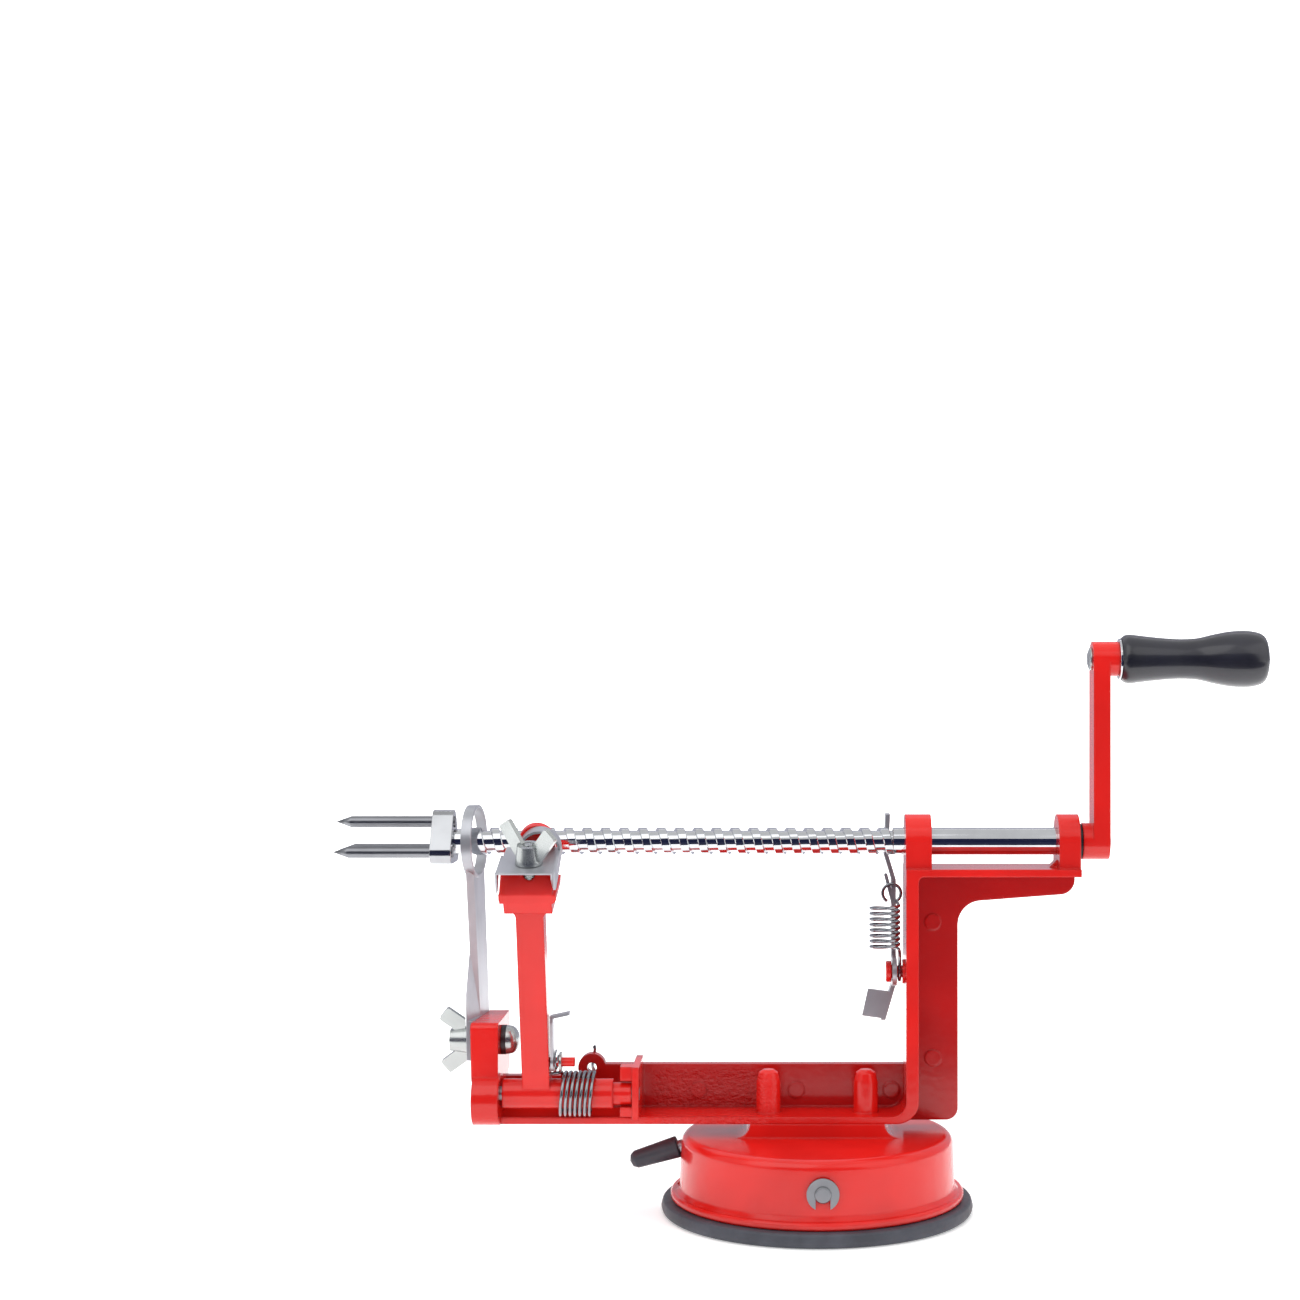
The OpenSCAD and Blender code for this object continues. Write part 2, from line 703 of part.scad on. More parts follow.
// Bent bar of the suction lever, from its hub to the sleeve's start
lever_root_x = -housing_d / 2 - sleeve_start;
module suction_lever() {
  elbow = [lever_root_x + lever_elbow_in, lever_root_z];
  tip = [lever_root_x - sleeve_l * cos(sleeve_slope) + lever_elbow_in,
    lever_root_z - (sleeve_l - lever_elbow_in) * sin(sleeve_slope)];
  color(satin_steel) difference() {
    union() {
      plate_y(-lever_w / 2, lever_w / 2) {
        translate([cam_x, cam_z]) circle(d=lever_hub_d);
        link([cam_x, cam_z], elbow, lever_t);
        link([cam_x, cam_z], [draw_x, draw_z], ear_w);
      }
      translate([lever_root_x, 0, lever_root_z]) rotate([0, -sleeve_slope, 0])
        bar_x(-sleeve_l + lever_elbow_in, lever_elbow_in, sleeve_bore_d - 2 * press_fit);
    }
    translate([cam_x, 0, cam_z])
      bar_y(-lever_w, lever_w, cam_pin_d + 2 * running_fit);
    translate([draw_x, 0, draw_z]) bar_y(-lever_w, lever_w, draw_pin_d + 2 * press_fit);
  }
}

module lever_sleeve() {
  tip_r = sleeve_tip_d / 2;
  color(dark_rubber) translate([lever_root_x, 0, lever_root_z]) rotate([0, -sleeve_slope, 0])
    turned_x([[0, sleeve_bore_d / 2], [0, sleeve_root_d / 2], [-sleeve_l + tip_r / 2, tip_r],
      [-sleeve_l, tip_r * 0.7], [-sleeve_l - tip_r / 4, 0],
      [-sleeve_l + lever_elbow_in, 0], [-sleeve_l + lever_elbow_in, sleeve_bore_d / 2]]);
}

// Feed shaft, fork and crank

hub_gap = 8.75;
hub_x1 = lug_face_x - hub_gap;
hub_x0 = hub_x1 - hub_l;
thread_x0 = hub_x1 + neck_l;
thread_x1 = thread_x0 + thread_l;
collar_l = 3;
washer_t = 1.1;
washer_d = 11.4;
crank_x0 = arm_right_x + washer_t + 2 * soft_gap / 3;
crank_x1 = crank_x0 + crank_boss_l + crank_t;
seat_d = 7;
rivet_rise = 0.5;
spigot_d = 6;
thread_rings = 16;
ridge_x0 = thread_x0 + overlap;

// Square right-hand thread and its core as one closed mesh: a ridge that winds round the
// core, the core's surface between two turns of it, and a flat ring at each end
module threaded_length() {
  root_r = shaft_d / 2 - thread_depth;
  per = thread_rings;
  n = floor((thread_x1 - ridge_x0 - thread_crest) / thread_pitch * per);
  ends_at = 4 * (n + 1);
  ridge = [for (i = [0:n])
    let (a = 360 * i / per + thread_phase, x = ridge_x0 + thread_pitch * i / per)
    each [for (c = [[0, root_r], [0, shaft_d / 2], [thread_crest, shaft_d / 2], [thread_crest, root_r]])
      [x + c[0], c[1] * cos(a), c[1] * sin(a)]]];
  rings = [for (x = [thread_x0 - overlap, thread_x1 + overlap], j = [0:per - 1])
    let (a = 360 * j / per + thread_phase) [x, root_r * cos(a), root_r * sin(a)]];
  flanks = [for (i = [0:n - 1], k = [0:2]) let (a = 4 * i + k)
    each [[a, a + 1, a + 5], [a, a + 5, a + 4]]];
  roots = [for (i = [0:n - per - 1]) let (d = 4 * i + 3, a = 4 * (i + per))
    each [[d, a, a + 4], [d, a + 4, d + 4]]];
  left = [for (j = [0:per - 2]) let (r = ends_at + j, a = 4 * j)
    each [[r, a, a + 4], [r, a + 4, r + 1]]];
  seam_l = 4 * (per - 1);
  left_seam = [[seam_l, seam_l + 4, 3], [seam_l, 3, 0], [seam_l, 0, ends_at],
    [seam_l, ends_at, ends_at + per - 1], [0, 3, 2, 1]];
  q = ends_at + per;
  right = [for (i = [n - per + 1:n - 1]) let (d = 4 * i + 3)
    each [[d, q + i % per, q + (i + 1) % per], [d, q + (i + 1) % per, d + 4]]];
  seam_r = 4 * (n - per + 1) + 3;
  right_seam = [[seam_r, seam_r - 4, 4 * n], [seam_r, 4 * n, 4 * n + 3],
    [seam_r, 4 * n + 3, q + n % per], [seam_r, q + n % per, q + (n + 1) % per],
    [4 * n, 4 * n + 1, 4 * n + 2, 4 * n + 3]];
  caps = [[for (j = [0:per - 1]) ends_at + j], [for (j = [per - 1:-1:0]) q + j]];
  polyhedron(points=concat(ridge, rings),
    faces=concat(flanks, roots, left, left_seam, right, right_seam, caps), convexity=10);
}

module feed_shaft() {
  color(bright_chrome) translate([0, 0, shaft_z]) {
    turned_x([[hub_x0 + overlap, 0], [hub_x0 + overlap, spigot_d / 2],
      [hub_x1, spigot_d / 2], [hub_x1, neck_d / 2], [thread_x0 - collar_l, neck_d / 2],
      [thread_x0 - collar_l, shaft_d / 2 - overlap / 2], [thread_x0 - collar_l + overlap / 2, shaft_d / 2],
      [thread_x0, shaft_d / 2], [thread_x0, 0]]);
    threaded_length();
    turned_x([[thread_x1, 0], [thread_x1, shaft_d / 2], [crank_x0, shaft_d / 2],
      [crank_x0, seat_d / 2], [crank_x1 + rivet_rise / 2, seat_d / 2],
      [crank_x1 + rivet_rise, seat_d / 2 - rivet_rise], [crank_x1 + rivet_rise, 0]]);
  }
}

// Corners of the fork's triangle, one tine straight up
tine_places = [for (a = [90, 210, 330]) tine_offset * [cos(a), sin(a)]];

module fork_hub() {
  lobe_r = tine_d / 2 + hub_margin;
  color(bright_chrome) translate([0, 0, shaft_z]) difference() {
    plate_x(hub_x0, hub_x1) {
      for (i = [0:2]) link(tine_places[i], tine_places[(i + 1) % 3], 2 * lobe_r);
    }
    bar_x(hub_x0 - overrun, hub_x1 + overrun, spigot_d + 2 * press_fit);
    for (p = tine_places)
      translate([0, p.x, p.y]) bar_x(hub_x0 - overrun, hub_x1 + overrun, tine_d + 2 * press_fit);
  }
}

module fork_tines() {
  color(satin_steel) for (p = tine_places) translate([0, p.x, shaft_z + p.y])
    turned_x([[hub_x1 + overlap, 0], [hub_x1 + overlap, tine_d / 2],
      [hub_x0 - tine_l + tine_point_l, tine_d / 2], [hub_x0 - tine_l, 0]]);
}

module thrust_washer() {
  color(black_gloss) translate([0, 0, shaft_z]) difference() {
    bar_x(crank_x0 - washer_t - soft_gap / 3, crank_x0 - soft_gap / 3, washer_d);
    bar_x(crank_x0 - 2 * washer_t, crank_x0 + overrun, shaft_bore);
  }
}

module crank_arm() {
  arm_x0 = crank_x0 + crank_boss_l;
  color(red_enamel) translate([0, 0, shaft_z]) difference() {
    union() {
      bar_x(crank_x0, crank_x1, crank_hub_d);
      translate([0, 0, crank_throw]) bar_x(arm_x0, crank_x1 + grip_boss_l, crank_end_d);
      plate_x(arm_x0, crank_x1) polygon([[-crank_hub_d / 2, 0], [crank_hub_d / 2, 0],
        [crank_end_d / 2, crank_throw], [-crank_end_d / 2, crank_throw]]);
    }
    bar_x(crank_x0 - overrun, crank_x1 + overrun, seat_d + 2 * press_fit);
    translate([0, 0, crank_throw])
      bar_x(arm_x0 - overrun, crank_x1 + grip_boss_l + overrun, spindle_d + 2 * press_fit);
  }
}

grip_washer_t = 0.8;
grip_washer_d = 13.5;
grip_x0 = crank_x1 + grip_boss_l + grip_washer_t + 2 * running_fit;
spindle_end_in = 6;
snap_rise = 0.8;
snap_l = 2.4;
snap_in = 12;
rivet_d = 7.6;
rivet_h = 1.4;
grip_wall_r = spindle_d / 2 + running_fit;

module handle_spindle() {
  arm_x0 = crank_x0 + crank_boss_l;
  end_x = grip_x0 + grip_l - spindle_end_in;
  snap_x = end_x - snap_in;
  color(zinc_plate) translate([0, 0, shaft_z + crank_throw])
    turned_x([[arm_x0 - rivet_h, 0], [arm_x0 - rivet_h, rivet_d / 4], [arm_x0 - rivet_h / 2, rivet_d / 2],
      [arm_x0, rivet_d / 2], [arm_x0, spindle_d / 2], [snap_x, spindle_d / 2],
      [snap_x, spindle_d / 2 + snap_rise], [snap_x + snap_l, spindle_d / 2 + snap_rise],
      [snap_x + snap_l, spindle_d / 2], [end_x, spindle_d / 2], [end_x, 0]]);
}

module grip_washer() {
  x0 = crank_x1 + grip_boss_l;
  color(bright_chrome) translate([0, 0, shaft_z + crank_throw]) difference() {
    bar_x(x0, x0 + grip_washer_t, grip_washer_d);
    bar_x(x0 - overrun, x0 + grip_washer_t + overrun, spindle_d + 2 * running_fit);
  }
}

// Grip's outline as shares of its length, with the diameters it passes through
grip_shares = [[0, 0.86], [0.025, 0.97], [0.06, 1], [0.12, 0.96], [0.22, 0.89], [0.33, 0.835],
  [0.42, 0.815]];
bulb_shares = [[0.52, 0.74], [0.62, 0.86], [0.72, 0.96], [0.81, 1], [0.88, 0.985], [0.94, 0.91],
  [0.975, 0.77], [0.99, 0.55]];
nub_d = 2;

module handle_grip() {
  end_x = grip_x0 + grip_l - spindle_end_in + soft_gap;
  snap_x = grip_x0 + grip_l - spindle_end_in - snap_in;
  neck = [for (s = grip_shares) [grip_x0 + s[0] * grip_l, s[1] * grip_end_d / 2]];
  bulb = [for (s = bulb_shares) [grip_x0 + s[0] * grip_l, s[1] * grip_bulb_d / 2]];
  color(black_gloss) translate([0, 0, shaft_z + crank_throw])
    turned_x(concat([[grip_x0, grip_wall_r]], neck, bulb,
      [[grip_x0 + grip_l, nub_d], [grip_x0 + grip_l, nub_d / 2],
      [grip_x0 + grip_l + nub_d / 4, nub_d / 2], [grip_x0 + grip_l + nub_d / 4, 0],
      [end_x, 0], [end_x, grip_wall_r],
      [snap_x + snap_l + end_play, grip_wall_r], [snap_x + snap_l + end_play, grip_wall_r + snap_rise],
      [snap_x - end_play, grip_wall_r + snap_rise], [snap_x - end_play, grip_wall_r]]));
}

// Thread release

finger_mid_out = 3.4;
finger_mid_x = column_x - finger_mid_out;
finger_tip_out = 5.6;
finger_x = column_x - finger_tip_out;
finger_slant = 0.3;
finger_foot_out = 6.9;
finger_foot_x = column_x - finger_foot_out;
finger_top_rise = 8.6;
finger_top_z = shaft_z + finger_top_rise;
finger_bend_drop = 4.9;
finger_bend_z = shaft_z - finger_bend_drop;
finger_straight_drop = 13.1;
finger_straight_z = shaft_z - finger_straight_drop;
finger_foot_drop = 16.7;
finger_foot_z = stud_z - finger_foot_drop;
finger_y = shaft_d / 2 - thread_depth + soft_gap;
finger_eye_d = 9.6;
tab_w = 7;
tab_lean = 2;
tab_rise = 1;
tab_low_drop = 16.2;
tab_low_z = stud_z - tab_low_drop;
tab_top_drop = 6.3;
tab_top_z = stud_z - tab_top_drop;
tongue_low_drop = 21.8;
tongue_high_drop = 11.6;
tongue_out = 2.6;
tongue_w = 1.2;
stud_head_t = 1.9;

// Turn of the thread that brings the middle of its groove to the finger
thread_phase = -360 * (finger_x - ridge_x0 - (thread_pitch + thread_crest) / 2) / thread_pitch;

// Strip's centre line seen from the front, as points of [x, z]
finger_line = [[finger_foot_x, finger_foot_z], [finger_mid_x, stud_z - finger_eye_d / 2],
  [finger_mid_x, finger_straight_z], [finger_x - finger_slant, finger_bend_z],
  [finger_x + finger_slant, finger_top_z]];

module release_lever() {
  line = finger_line;
  half = finger_t / 2;
  foot_slope = (line[1].x - line[0].x) / (line[1].y - line[0].y);
  back_y = finger_y + finger_depth;
  color(satin_steel) difference() {
    union() {
      plate_y(finger_y, back_y) polygon(concat(
        [for (p = line) [p.x - half, p.y]],
        [for (i = [len(line) - 1:-1:0]) [line[i].x + half, line[i].y]]));
      plate_x(finger_mid_x - half, finger_mid_x + half) {
        translate([0, stud_z]) circle(d=finger_eye_d);
        translate([0, stud_z - finger_eye_d / 2]) square([back_y, finger_eye_d]);
      }
      plate_y(finger_y, finger_y + finger_t) polygon([[finger_foot_x, tab_low_z],
        [finger_foot_x - tab_w, tab_low_z + tab_rise], [finger_foot_x - tab_w + tab_lean, tab_top_z],
        [finger_foot_x + (tab_top_z - tab_rise - finger_foot_z) * foot_slope, tab_top_z - tab_rise]]);
      plate_y(finger_y, finger_y + finger_t) link([finger_mid_x, shaft_z - tongue_low_drop],
        [finger_mid_x - tongue_out, shaft_z - tongue_high_drop], tongue_w);
    }
    translate([0, 0, stud_z])
      bar_x(finger_foot_x, column_x, stud_neck_d + 2 * running_fit);
  }
}

module release_stud() {
  neck_x = finger_mid_x - finger_t / 2 - end_play;
  color(red_enamel) translate([0, 0, stud_z]) {
    bar_x(neck_x - stud_head_t, neck_x, stud_head_d);
    bar_x(neck_x - overlap, column_flange_x, stud_neck_d);
  }
}

// Release spring: its coils, the loop on the lever and the hook round the stud
release_pitch = 1.8;
release_out = 6.8;
release_forward = 6.6;
release_axis = [column_x - release_out, -release_forward];
release_rise = 8.1;
release_low_z = stud_z + release_rise;
release_loop_d = 7.2;
loop_shift = 1.95;
release_loop_rise = 25.5;
release_loop_z = stud_z + release_loop_rise;
module release_spring() {
  r = (release_spring_d - spring_wire) / 2;
  n = release_spring_coils * curl_rings;
  hook_x = (finger_mid_x + finger_t / 2 + column_x - stud_boss_l) / 2;
  hook_r = stud_neck_d / 2 + spring_wire / 2 + soft_gap;
  coil = [for (i = [0:n]) let (a = 360 * i / curl_rings)
    [release_axis.x + r * cos(a), release_axis.y + r * sin(a),
    release_low_z + release_pitch * i / curl_rings]];
  hook = [for (a = [30:-30:-180]) [hook_x, hook_r * cos(a), stud_z + hook_r * sin(a)]];
  loop_y = finger_y - soft_gap - spring_wire / 2;
  loop_r = (release_loop_d - spring_wire) / 2;
  loop_x = release_axis.x + r - loop_shift;
  loop = [for (a = [-60:30:240])
    [loop_x + loop_r * cos(a), loop_y, release_loop_z + loop_r * sin(a)]];
  path = concat(hook, [[hook_x, -hook_r, release_low_z - release_pitch]], coil, loop);
  echo(release_spring_gap=least_gap(path, spring_wire));
  color(zinc_plate) wire(path, spring_wire, [1, 0, 0]);
}

// Peeling arm. Its own frame has its origin on the arm's axis and +Z along the upright

module arm_place() {
  translate([0, -arm_forward, arm_z]) rotate([arm_lean, 0, 0]) children();
}

tube_gap = 0.9;
tube_x0 = lug_right_x + arm_boss_rise + tube_gap;
tube_shoulder_x = tube_end_x - tube_neck_l;
tube_neck_d = 7.2;
upright_x0 = lug_right_x + upright_inset;
upright_x1 = upright_x0 + upright_w;
upright_mid_x = (upright_x0 + upright_x1) / 2;
head_shift = 0.1;
head_mid_x = upright_mid_x - head_shift;
seat_shift = 0.6;
seat_mid_x = upright_mid_x - seat_shift;
blade_screw_shift = 0.2;
blade_screw_x = upright_mid_x + blade_screw_shift;
head_front = 7;
bar_h = 3;
step_h = 4;
head_step = 1.4;
head_fillet_r = 1.5;
head_clip = 1;
neck_fillet_r = 2.6;
seat_rise = 7.7;
seat_slope_l = 9;
seat_back = 13;
seat_back_t = 4;
tongue_r = 5.8;
tongue_t = 2.6;
tongue_rise = 9.7;
tongue_shift = 1.1;
tongue_x = upright_mid_x + tongue_shift;
latch_pin_d = 3;
latch_pin_l = 8;
latch_place = [0.5, 11.1];
leg_place = [1.8, 6.2];
leg_bore_l = 2;
blade_screw_y = -1;

module peeling_arm() {
  top = upright_l + seat_rise;
  color(red_enamel) arm_place() difference() {
    union() {
      turned_x([[tube_x0, 0], [tube_x0, tube_d / 2], [tube_shoulder_x, tube_d / 2],
        [tube_shoulder_x, tube_neck_d / 2], [tube_end_x, tube_neck_d / 2], [tube_end_x, 0]]);
      block([upright_x0, -upright_depth / 2, 0],
        [upright_x1, upright_depth / 2, upright_l - bar_h - step_h + overlap]);
      intersection() {
        plate_x(head_mid_x - head_w / 2, head_mid_x + head_w / 2) head_side_outline();
        plate_y(-head_front - overrun, seat_back + overrun) head_front_outline();
      }
      translate([tongue_x, 0, upright_l + tongue_rise])
        bar_y(seat_back - overlap, seat_back + tongue_t, 2 * tongue_r);
      block([tongue_x - tongue_r, seat_back - overlap, top - seat_back_t],
        [tongue_x + tongue_r, seat_back + tongue_t, upright_l + tongue_rise]);
      translate([0, latch_place[0], latch_place[1]])
        bar_x(upright_x1 - overlap, upright_x1 + latch_pin_l, latch_pin_d);
    }
    bar_x(tube_x0 - overrun, tube_end_x + overrun, arm_pin_d + 2 * running_fit);
    translate([0, leg_place[0], leg_place[1]])
      bar_x(upright_x1 - leg_bore_l, upright_x1 + overrun, spring_wire + 2 * soft_gap);
    translate([blade_screw_x, blade_screw_y, upright_l - screw_in])
      cylinder(d=bolt_d + 2 * press_fit, h=screw_in + seat_rise + overrun);
  }
}

// Head seen from its side, as points of [y, z]
module head_side_outline() {
  low = upright_l - bar_h - step_h;
  top = upright_l + seat_rise;
  foot = low - neck_fillet_r;
  polygon([[-upright_depth / 2, low], [-head_front + head_fillet_r, low],
    [-head_front, upright_l - bar_h], [-head_front, upright_l],
    [seat_slope_l - head_front, top], [seat_back, top], [seat_back, top - seat_back_t],
    [upright_depth / 2, low], [upright_depth / 2, foot], [-upright_depth / 2, foot]]);
}

// Head seen from the front: its seat, its bar, its step and its fillets to the upright
module head_front_outline() {
  low = upright_l - bar_h - step_h;
  half = head_w / 2;
  translate([seat_mid_x - seat_w / 2, upright_l - bar_h]) square([seat_w, bar_h + seat_rise + overrun]);
  translate([head_mid_x - half, upright_l - bar_h]) polygon([[0, bar_h], [0, head_clip],
    [head_clip, 0], [head_w - head_clip, 0], [head_w, head_clip], [head_w, bar_h]]);
  translate([head_mid_x - half + head_step, low]) square([head_w - 2 * head_step, step_h + overlap]);
  difference() {
    translate([upright_x0 - neck_fillet_r, low - neck_fillet_r])
      square([upright_w + 2 * neck_fillet_r, neck_fillet_r + overlap]);
    for (x = [upright_x0 - neck_fillet_r, upright_x1 + neck_fillet_r])
      translate([x, low - neck_fillet_r]) circle(neck_fillet_r);
  }
}

module arm_pin() {
  color(satin_steel) translate([0, -arm_forward, arm_z])
    bar_x(lug_right_x + arm_boss_rise - pin_bore_l + overlap, pin_wall_x + pin_wall_t, arm_pin_d);
}

// Arm spring: its coils round the tube, a leg in the arm and a tail through the frame's lug
arm_spring_pitch = 1.57;
arm_spring_in = 2.8;
arm_spring_skew = 0.41;
arm_spring_x0 = upright_x1 + arm_spring_in;
tail_h = 6.2;
tail_back = 1.5;
module arm_spring() {
  r = (arm_spring_d - spring_wire) / 2;
  leg_angle = atan2(leg_place[1], leg_place[0]) + arm_lean;
  leg_r = norm(leg_place);
  leg = leg_r * [cos(leg_angle), sin(leg_angle)];
  sweep = arm_spring_coils * 360 + leg_angle - 90;
  steps = round(sweep / 360 * curl_rings);
  coil = [for (i = [0:steps]) let (a = leg_angle - sweep * i / steps)
    [arm_spring_x0 + arm_spring_pitch * sweep / 360 * i / steps + arm_spring_skew * sin(a),
    r * cos(a) - arm_forward, r * sin(a) + arm_z]];
  back_y = flange_half + tail_back;
  tail = [[spring_lug_x, web_y + web_t / 2, spring_lug_z],
    [spring_lug_x - spring_wire / 4, back_y - spring_wire / 2, spring_lug_z],
    [spring_lug_x, back_y, spring_lug_z + spring_wire],
    [spring_lug_x + spring_wire / 2, back_y, spring_lug_z + tail_h - spring_wire],
    [spring_lug_x + spring_wire / 2, back_y - spring_wire / 2, spring_lug_z + tail_h],
    [spring_lug_x + spring_wire / 2, back_y - spring_wire * 2, spring_lug_z + tail_h]];
  start = [[upright_x1 - leg_bore_l + soft_gap, leg[0] - arm_forward, leg[1] + arm_z],
    [upright_x1 + spring_wire, leg[0] - arm_forward, leg[1] + arm_z]];
  path = concat(start, coil, tail);
  echo(arm_spring_gap=least_gap(path, spring_wire));
  color(zinc_plate) wire(path, spring_wire, [0, 0, 1]);
}

// Latch on the arm's right side

latch_t = 0.9;
latch_x0 = upright_x1 + end_play + overlap / 2;
latch_w = 4.4;
latch_h = 15.6;
latch_tab_l = 6.4;
latch_tab_rise = 12;
claw = [5.9, -4.6];
claw_w = 2.6;
latch_eye_d = 6;
latch_wire = 0.6;
latch_coils = 1;
latch_pitch = 1.05;
latch_washer_t = 0.8;
latch_washer_d = 6.4;
latch_top_back = 1.6;
module latch_lever() {
  top = [latch_place[0] + latch_top_back, latch_place[1] + latch_h];
  hook = latch_place + claw;
  color(satin_steel) arm_place() difference() {
    union() {
      plate_x(latch_x0, latch_x0 + latch_t) {
        translate(latch_place) circle(d=latch_eye_d);
        link(latch_place, top - [0, latch_w / 2], latch_w);
        link(latch_place, hook, claw_w);
        link(hook, hook + [0, -claw_w / 2], claw_w);
      }
      translate([latch_x0, top.x, top.y - latch_t / 2]) rotate([-arm_lean, 0, 0])
        rotate([0, -latch_tab_rise, 0])
          block([0, -latch_w / 2, -latch_t / 2], [latch_tab_l, latch_w / 2, latch_t / 2]);
    }
    translate([0, latch_place[0], latch_place[1]])
      bar_x(latch_x0 - overrun, latch_x0 + latch_t + overrun, latch_pin_d + 2 * running_fit);
  }
}

module latch_spring() {
  r = latch_pin_d / 2 + latch_wire / 2 + soft_gap;
  x0 = latch_x0 + latch_t + latch_wire / 2 + running_fit;
  n = latch_coils * curl_rings;
  coil = [for (i = [0:n]) let (a = 90 + 360 * i / curl_rings)
    [x0 + latch_pitch * i / curl_rings, latch_place[0] + r * cos(a), latch_place[1] + r * sin(a)]];
  path = concat([[x0, latch_place[0] + 2 * r, latch_place[1] + r]], coil,
    [[x0 + latch_pitch * latch_coils, latch_place[0] - 2 * r, latch_place[1] + r]]);
  echo(latch_spring_gap=least_gap(path, latch_wire));
  color(zinc_plate) arm_place() wire(path, latch_wire, [0, 0, 1]);
}

module latch_washer() {
  x0 = latch_x0 + latch_t + latch_wire + latch_pitch * latch_coils + 2 * running_fit;
  color(zinc_plate) arm_place() translate([0, latch_place[0], latch_place[1]]) difference() {
    bar_x(x0, x0 + latch_washer_t, latch_washer_d);
    bar_x(x0 - overrun, x0 + latch_washer_t + overrun, latch_pin_d + 2 * press_fit);
  }
}

// Peeling blade and its bracket, in the arm's frame

bracket_z = upright_l + seat_rise;
bracket_front = 9.5;
bracket_half = seat_w / 2 + running_fit + bracket_t;
bracket_side_h = 6;
side_tip_l = 1.6;
side_flat_l = 4;
side_back_h = 1.6;
bracket_taper = 1.2;
blade_t = 0.8;
blade_r = 6.6;
blade_l = 4.6;
blade_rise = 4.4;
blade_foot = 16.5;
foot_drop = 5.3;
foot_tip_l = 2;
screw_in = 5;
screw_top = 6.5;

module blade_bracket() {
  x0 = seat_mid_x - bracket_half;
  x1 = seat_mid_x + bracket_half;
  back = bracket_l - bracket_front;
  color(satin_steel) arm_place() difference() {
    union() {
      translate([0, 0, bracket_z]) linear_extrude(bracket_t)
        polygon([[x0, -bracket_front], [x1, -bracket_front], [x1, back], [x0 + bracket_taper, back]]);
      plate_x(x0, x0 + bracket_t) polygon([[-bracket_front, bracket_z + bracket_t / 2],
        [-bracket_front, bracket_z - bracket_side_h], [-bracket_front + side_tip_l, bracket_z - bracket_side_h],
        [-bracket_front + side_tip_l + side_flat_l, bracket_z - side_back_h],
        [back / 2, bracket_z - side_back_h], [back / 2, bracket_z + bracket_t / 2]]);
      plate_x(x1 - bracket_t, x1) polygon([[-bracket_front, bracket_z + bracket_t / 2],
        [-bracket_front, bracket_z - side_back_h],
        [-bracket_front + side_flat_l, bracket_z - bracket_side_h],
        [back - side_tip_l, bracket_z - bracket_side_h], [back, bracket_z - bracket_side_h + side_tip_l],
        [back, bracket_z + bracket_t / 2]]);
    }
    translate([blade_screw_x, blade_screw_y, bracket_z - overrun])
      cylinder(d=bolt_d + 2 * running_fit, h=bracket_t + 2 * overrun);
  }
}

// Hooped blade on the bracket's right side, open below
module peeling_blade() {
  x1 = seat_mid_x + bracket_half;
  y1 = bracket_l - bracket_front;
  cx = x1 + blade_t - blade_r;
  cz = bracket_z + blade_rise - blade_r / 2;
  front = y1 - blade_l - blade_foot;
  color(bright_chrome) arm_place() {
    plate_y(y1 - blade_l, y1) difference() {
      translate([cx, cz]) circle(blade_r);
      translate([cx, cz]) circle(blade_r - blade_t);
      translate([cx - 2 * blade_r, cz - 2 * blade_r]) square([4 * blade_r, 2 * blade_r]);
    }
    plate_x(x1, x1 + blade_t) polygon([[front, bracket_z - foot_drop], [front + foot_tip_l,
      bracket_z - foot_drop], [y1, bracket_z - side_back_h], [y1, cz + overlap],
      [y1 - blade_l, cz + overlap], [front, bracket_z + bracket_t]]);
  }
}

module blade_screw() {
  color(zinc_plate) arm_place() translate([blade_screw_x, blade_screw_y, upright_l - screw_in + overlap])
    cylinder(d=bolt_d, h=screw_in + seat_rise + screw_top);
}

wing_w = 5;
wing_lean = 37;
wing_corner_r = 0.8;
wing_floor = 1;
wing_root_share = 0.35;

// Wing nut standing on its seat, with its two wings in the X Z plane
module wing_nut(bore_d, h) {
  tip = [wing_span / 2 - wing_w / 2 * cos(wing_lean), h - wing_w / 2 * sin(wing_lean)];
  long = (tip.x - nut_hub_d * wing_root_share) / sin(wing_lean);
  difference() {
    union() {
      cylinder(d1=nut_hub_d + 2 * overlap, d2=nut_hub_d - 2 * overlap, h=nut_hub_h);
      for (side = [0, 1]) mirror([side, 0, 0]) plate_y(-wing_t / 2, wing_t / 2) difference() {
        translate(tip) rotate(90 - wing_lean)
          round_rect([-long, -wing_w / 2], [0, wing_w / 2], wing_corner_r);
        translate([-wing_span, wing_floor - wing_span]) square([2 * wing_span, wing_span]);
      }
    }
    translate([0, 0, -overrun]) cylinder(d=bore_d, h=nut_hub_h + 2 * overrun);
  }
}

nut_turn = 35;
low_nut_turn = -14;
module blade_wing_nut() {
  color(zinc_plate) arm_place()
    translate([blade_screw_x, blade_screw_y, bracket_z + bracket_t + end_play]) rotate([0, 0, -nut_turn])
      wing_nut(bolt_d + 2 * running_fit, wing_h);
}

// Coring and slicing blade, on the left lug's sloping face

clamp_y = -5;
clamp_z = 56.8;
blade_foot_h = 5.6;
blade_slot_h = 6;
washer_h = 1.6;
bolt_washer_d = 9.6;
bolt_head_d = 9.3;
bolt_head_h = 4.3;
bolt_out = 7.6;
edge_t = 0.4;
bevel_top_w = 2;
nut_stand = 1.3;
module blade_place() {
  translate([lug_face_x, 0, clamp_z]) rotate([0, -blade_lean, 0]) rotate([0, 0, -blade_turn])
    children();
}

